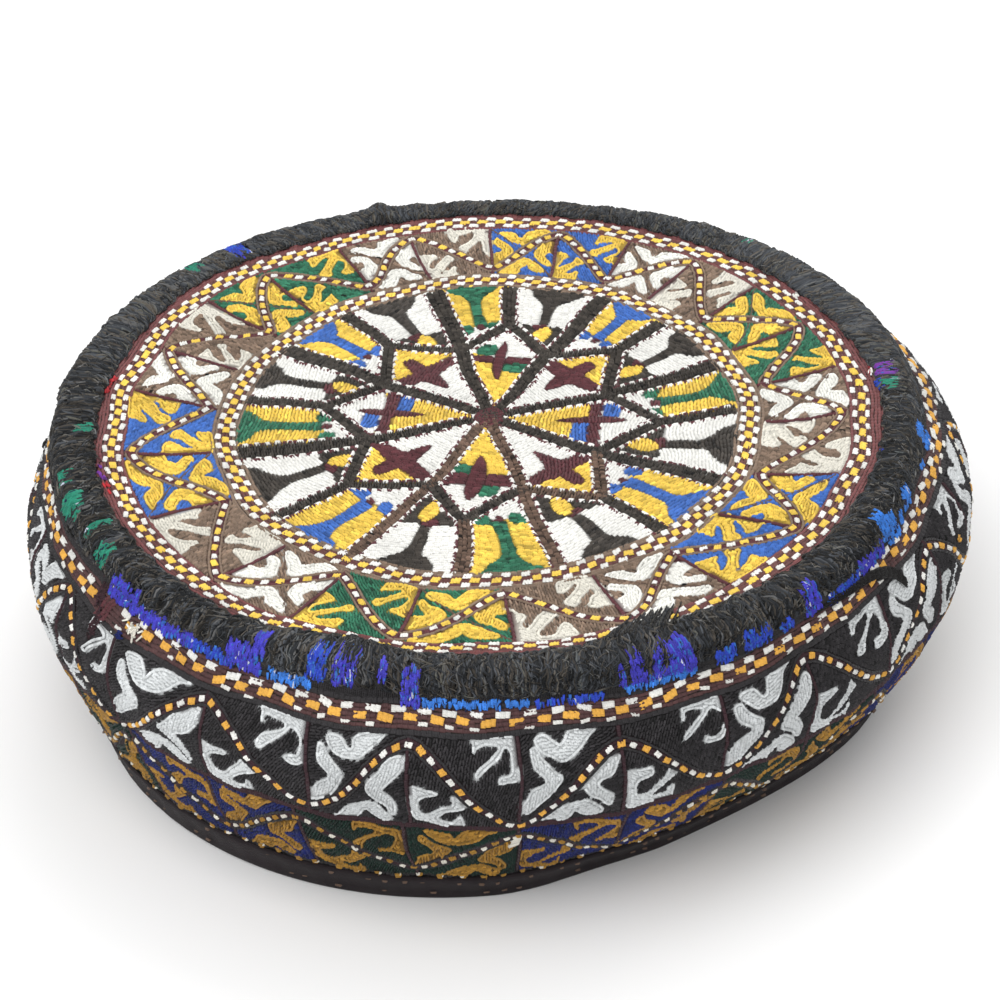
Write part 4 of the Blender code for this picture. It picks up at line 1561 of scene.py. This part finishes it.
def band_cloth(material):
    """Closed ring of cloth: outer face under the stitches, inner face plain."""
    around, rows = 540, 62
    azimuth = np.arange(around)[:, None] * 360 / around
    height = np.linspace(2.4, 64.2, rows)[None, :]
    full = np.broadcast_to(azimuth, (around, rows))
    levels = np.broadcast_to(height, (around, rows))
    flat = np.stack([((full + 180) % 360 - 180) * ARC, levels], axis=-1)
    outer = wall_chart_point(flat, np.full(full.shape, -0.12))
    # painted shade: the cloth under the wall's stitches darker than the stitches
    colours = cloth_colours_with_painted_shade(WALL, flat, "black", 0.45)
    inner = wall_point(full[:, ::-2], levels[:, ::-2], np.full(full[:, ::-2].shape, -CLOTH))
    points = np.concatenate([outer, inner], axis=1)
    rgb = np.concatenate([colours, np.broadcast_to(COTTON, inner.shape)], axis=1)
    rgb = rgb.reshape(-1, 3)
    quads = ring_faces(around, points.shape[1])
    return mesh_object("band_cloth", points.reshape(-1, 3), [quads], material, rgb, np.zeros_like(rgb))


def tape(material):
    """The folded tape: a closed section round the wall's foot, a little slack outside."""
    around = 540
    azimuth = np.arange(around) * 360 / around
    foot = on_grid(REACH, azimuth, np.full(around, 2.4))
    middle = on_grid(REACH, azimuth, np.full(around, 5.4))
    top = on_grid(REACH, azimuth, np.full(around, 8.6))
    slack = 0.12 * np.sin(azimuth * 0.55) + 0.1 * np.sin(azimuth * 1.7 + 2)
    inside_top = foot - CLOTH + (middle - foot) * 1.3
    section = [
        (inside_top - 1.15, 6.3), (inside_top - 1.25 + 0.1 * slack, 5.6), (foot - CLOTH - 1.15, 2.4),
        (foot - CLOTH - 0.95, 0.9), (foot - CLOTH - 0.3, 0.12), (foot - CLOTH / 2, 0.0), (foot + 0.35, 0.1),
        (foot + 0.9 + slack * 0.3, 0.85), (foot + 1.0 + slack, 2.2), (middle + 0.95 + slack, 5.4),
        (top + 0.75 + slack * 0.5, 7.9), (top + 0.5, 8.7), (top + 0.2, 8.6), (middle + 0.35, 5.4),
        (foot + 0.35, 2.0), (foot - CLOTH / 2, 0.95), (foot - CLOTH - 0.35, 2.0), (inside_top - 0.4, 6.0),
    ]
    reach = np.stack([np.broadcast_to(r, (around,)) for r, _ in section], axis=1)
    height = np.stack([np.full(around, float(z)) for _, z in section], axis=1)
    turn = np.radians(azimuth)[:, None]
    points = place(reach * np.cos(turn), reach * np.sin(turn), height)
    count = len(section)
    quads = ring_faces(around, count, outward=False)
    # black tape, its colour darkened further as painted shade at the cap's foot
    rgb = np.tile(linear((30, 23, 26)), (around * count, 1))
    along = np.broadcast_to((azimuth * 1.6)[:, None], reach.shape)
    stitch = np.stack([along, height, np.zeros_like(height)], axis=-1).reshape(-1, 3)
    return mesh_object("hem_tape_folded", points.reshape(-1, 3), [quads], material, rgb, stitch)


def tape_stitches(material):
    """Dashes of ochre and grey thread along the tape's upper edge, the ochre darkened as painted shade, and
    small brown ones lower down.
    """
    stitches = Stitches()
    for spacing, height, length, width, colour, share in (
        (5.0, 9.2, 1.6, 1.15, "ochre_with_painted_shade", 1.0), (5.0, 9.5, 1.1, 0.6, "grey", 0.8),
        (4.4, 7.2, 1.3, 0.32, "bar_brown", 0.45), (4.1, 2.4, 1.5, 0.3, "bar_brown", 0.5),
    ):
        n = int(WALL_TURN / spacing)
        x = (np.arange(n) / n - 0.5) * WALL_TURN
        x = (x + 0.3 * RANDOM.standard_normal(n))[RANDOM.random(n) < share]
        n = len(x)
        lift = 0.25 if height > 9 else 0.95
        start = np.stack([x - length / 2, height - 0.12 + 0.1 * RANDOM.standard_normal(n)], axis=1)
        end = start + np.stack([length * (1 + 0.1 * RANDOM.standard_normal(n)), np.full(n, 0.25)], axis=1)
        strands_each = 2 if width > 1 else 1
        for k in range(strands_each):
            shift = (0, (k - (strands_each - 1) / 2) * width / 2)
            thick = width / strands_each * 1.3
            stitches.add(start + shift, end + shift, thick, lift, 0.4, colour, taper=0.15)
    return stitches.build("hem_stitches", wall_chart_point, material)


# Materials

def material_with(name):
    material = bpy.data.materials.new(name)
    material.use_nodes = True
    tree = material.node_tree
    return material, tree, tree.nodes["Principled BSDF"]


def node(tree, kind, inputs=None, **values):
    made = tree.nodes.new(kind)
    for key, value in values.items():
        setattr(made, key, value)
    for key, value in (inputs or {}).items():
        if hasattr(value, "links"):
            tree.links.new(value, made.inputs[key])
        else:
            made.inputs[key].default_value = value
    return made


def maths(tree, operation, a, b=0.0, c=0.0):
    return node(tree, "ShaderNodeMath", {0: a, 1: b, 2: c}, operation=operation).outputs[0]


def attribute(tree, name, output):
    return node(tree, "ShaderNodeAttribute", attribute_name=name).outputs[output]


def noise(tree, scale, detail):
    spot = node(tree, "ShaderNodeTexCoord").outputs["Object"]
    made = node(tree, "ShaderNodeTexNoise", {"Vector": spot, "Scale": scale, "Detail": detail})
    return made.outputs["Fac"]


def tinted_relief(tree, shader, shade, relief, strength, depth):
    """The thread's own colour times a shade, and a bump."""
    grey = node(tree, "ShaderNodeCombineXYZ", {0: shade, 1: shade, 2: shade}).outputs[0]
    colour = attribute(tree, "thread", "Color")
    tinted = node(tree, "ShaderNodeVectorMath", {0: colour, 1: grey}, operation="MULTIPLY").outputs[0]
    bump = node(tree, "ShaderNodeBump", {"Height": relief, "Strength": strength, "Distance": depth})
    tree.links.new(tinted, shader.inputs["Base Color"])
    tree.links.new(bump.outputs[0], shader.inputs["Normal"])


def silk(name, roughness=0.5, twist=2.3, painted_groove_shade=0.32, dirt=0.25, sheen=0.05):
    """Thread: colour from the stitch with painted shade darker at its sides and along its twist, a fine
    twist bump, blotches and a little sheen.
    """
    material, tree, shader = material_with(name)
    stitch = attribute(tree, "stitch", "Vector")
    along, across, seed = node(tree, "ShaderNodeSeparateXYZ", {0: stitch}).outputs
    fine = noise(tree, 1400.0, 2.0)
    blotch = noise(tree, 60.0, 4.0)
    lean = maths(tree, "MULTIPLY_ADD", across, 0.9, maths(tree, "MULTIPLY", seed, 6.0))
    turns = maths(tree, "SINE", maths(tree, "MULTIPLY_ADD", along, twist * 2 * pi, lean))
    side = maths(tree, "ABSOLUTE", across)
    # painted shade: the thread's colour darker towards its sides, where stitches meet
    shade = maths(tree, "MULTIPLY_ADD", maths(tree, "POWER", side, 2.0), -painted_groove_shade, 1.0)
    mottled = maths(tree, "MULTIPLY_ADD", fine, 0.5, 0.75)
    stain = maths(tree, "MULTIPLY_ADD", blotch, dirt * 2, 1.0 - dirt)
    shade = maths(tree, "MULTIPLY", maths(tree, "MULTIPLY", shade, mottled), stain)
    # painted shade: the colour a little lighter and darker along the twist's ridges, in step with the bump
    shade = maths(tree, "MULTIPLY_ADD", turns, 0.05, shade)
    relief = maths(tree, "MULTIPLY_ADD", turns, 0.5, maths(tree, "MULTIPLY", fine, 0.8))
    tinted_relief(tree, shader, shade, relief, 0.55, 0.00012)
    rough = maths(tree, "MULTIPLY_ADD", fine, 0.2, roughness - 0.1)
    tree.links.new(rough, shader.inputs["Roughness"])
    shader.inputs["Sheen Weight"].default_value = sheen
    shader.inputs["Sheen Roughness"].default_value = 0.4
    shader.inputs["Specular IOR Level"].default_value = 0.22
    return material


def woven(name, roughness=0.85):
    """Plain weave: two sets of threads over and under each other, as a bump and as painted shade in the
    colour, with worn lighter specks.
    """
    material, tree, shader = material_with(name)
    fine = noise(tree, 900.0, 3.0)
    blotch = noise(tree, 45.0, 3.0)
    spot = node(tree, "ShaderNodeTexCoord").outputs["Object"]
    x, y, z = node(tree, "ShaderNodeSeparateXYZ", {0: spot}).outputs
    warp = maths(tree, "SINE", maths(tree, "MULTIPLY", maths(tree, "ARCTAN2", y, x), 1100.0))
    weft = maths(tree, "SINE", maths(tree, "MULTIPLY", z, 10500.0))
    weave = maths(tree, "MULTIPLY", warp, weft)
    # painted shade of the weave: the colour follows the over-and-under pattern of the bump
    shade = maths(tree, "MULTIPLY_ADD", weave, 0.18, maths(tree, "MULTIPLY_ADD", fine, 0.7, 0.6))
    shade = maths(tree, "MULTIPLY", shade, maths(tree, "MULTIPLY_ADD", blotch, 0.8, 0.6))
    relief = maths(tree, "MULTIPLY_ADD", weave, 0.5, fine)
    tinted_relief(tree, shader, shade, relief, 0.6, 0.00015)
    shader.inputs["Roughness"].default_value = roughness
    shader.inputs["Sheen Weight"].default_value = 0.04
    shader.inputs["Specular IOR Level"].default_value = 0.2
    return material


def floor_material():
    material, _, shader = material_with("studio_floor")
    shader.inputs["Base Color"].default_value = (0.88, 0.88, 0.88, 1)
    shader.inputs["Roughness"].default_value = 0.9
    return material


crown_silk = silk("crown_silk_thread")
band_silk = silk("band_silk_thread", roughness=0.52)
wool = silk("black_wool_fibre", roughness=0.8, twist=1.1, painted_groove_shade=0.3, dirt=0.35, sheen=0.12)
worn = silk("worn_silk_thread", roughness=0.45)
plain_cloth = woven("cloth_under_stitches")
tape_weave = woven("black_tape_weave", roughness=0.8)
hem_thread = silk("hem_thread")


def is_medallion(table):
    middle = (table[:, 0:2] + table[:, 2:4]) / 2
    azimuth = np.degrees(np.arctan2(middle[:, 1], middle[:, 0]))
    return np.hypot(middle[:, 0], middle[:, 1]) < inner_reach(azimuth) + 3.0


def is_upper(table):
    return (table[:, 1] + table[:, 3]) / 2 > BANDS_MEET


pieces = {
    "crown_silk": [
        crown_cloth(plain_cloth),
        CROWN.stitches.build("crown_medallion", crown_chart_point, crown_silk, is_medallion),
        CROWN.stitches.build("crown_ring", crown_chart_point, crown_silk, lambda t: ~is_medallion(t)),
    ],
    "band_silk": [
        band_cloth(plain_cloth),
        WALL.stitches.build("band_upper_rows", wall_chart_point, band_silk, is_upper),
        WALL.stitches.build("band_lower_rows", wall_chart_point, band_silk, lambda t: ~is_upper(t)),
    ],
    "black_wool": [
        wool_base(wool), wool_yarns(wool), wool_loose(wool), wool_fuzz(wool), wool_tuft(wool),
        worn_silk(worn),
    ],
    "black_tape": [tape(tape_weave), tape_stitches(hem_thread)],
}
for slot, members in pieces.items():
    for piece in members:
        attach(piece, "root")
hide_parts("crown")
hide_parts("side_band")
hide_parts("wool_roll")
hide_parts("hem_tape")


# Stage, light and camera

def stage():
    half = 3.0
    points = np.array([(-half, -half, 0), (half, -half, 0), (half, half, 0), (-half, half, 0)])
    floor = mesh_object("floor", points, [np.array([[0, 1, 2, 3]])], floor_material(), smooth=False)
    world = bpy.data.worlds.new("studio")
    bpy.context.scene.world = world
    world.use_nodes = True
    world.node_tree.nodes["Background"].inputs["Color"].default_value = (1.0, 1.0, 1.0, 1)
    world.node_tree.nodes["Background"].inputs["Strength"].default_value = 0.78
    for name, spot, aim, size, power in (
        ("key", (-0.5, -0.7, 1.3), (0, 0, 0.04), 1.4, 15.5),
        ("back", (0.5, 0.9, 1.1), (0, 0, 0.04), 1.4, 9),
    ):
        light = bpy.data.lights.new(name, "AREA")
        light.size = size
        light.energy = power
        lamp = bpy.data.objects.new(name, light)
        lamp.location = spot
        lamp.rotation_euler = (Vector(aim) - Vector(spot)).to_track_quat("-Z", "Y").to_euler()
        bpy.context.scene.collection.objects.link(lamp)


def camera():
    elevation, roll = radians(35), radians(-2.2)
    upright = Vector((0, sin(elevation), cos(elevation)))
    back = Vector((0, -cos(elevation), sin(elevation)))
    right = cos(roll) * Vector((1, 0, 0)) + sin(roll) * upright
    up = -sin(roll) * Vector((1, 0, 0)) + cos(roll) * upright
    data = bpy.data.cameras.new("camera")
    data.lens = 141.35
    data.sensor_width = 36
    data.clip_start = 0.05
    eye = bpy.data.objects.new("camera", data)
    matrix = Matrix((right, up, back)).transposed().to_4x4()
    matrix.translation = Vector((-0.00002, -0.7197, 0.5462))
    eye.matrix_world = matrix
    bpy.context.scene.collection.objects.link(eye)
    bpy.context.scene.camera = eye


stage()
camera()
bpy.context.scene.view_settings.view_transform = "Standard"

bpy.context.view_layer.update()
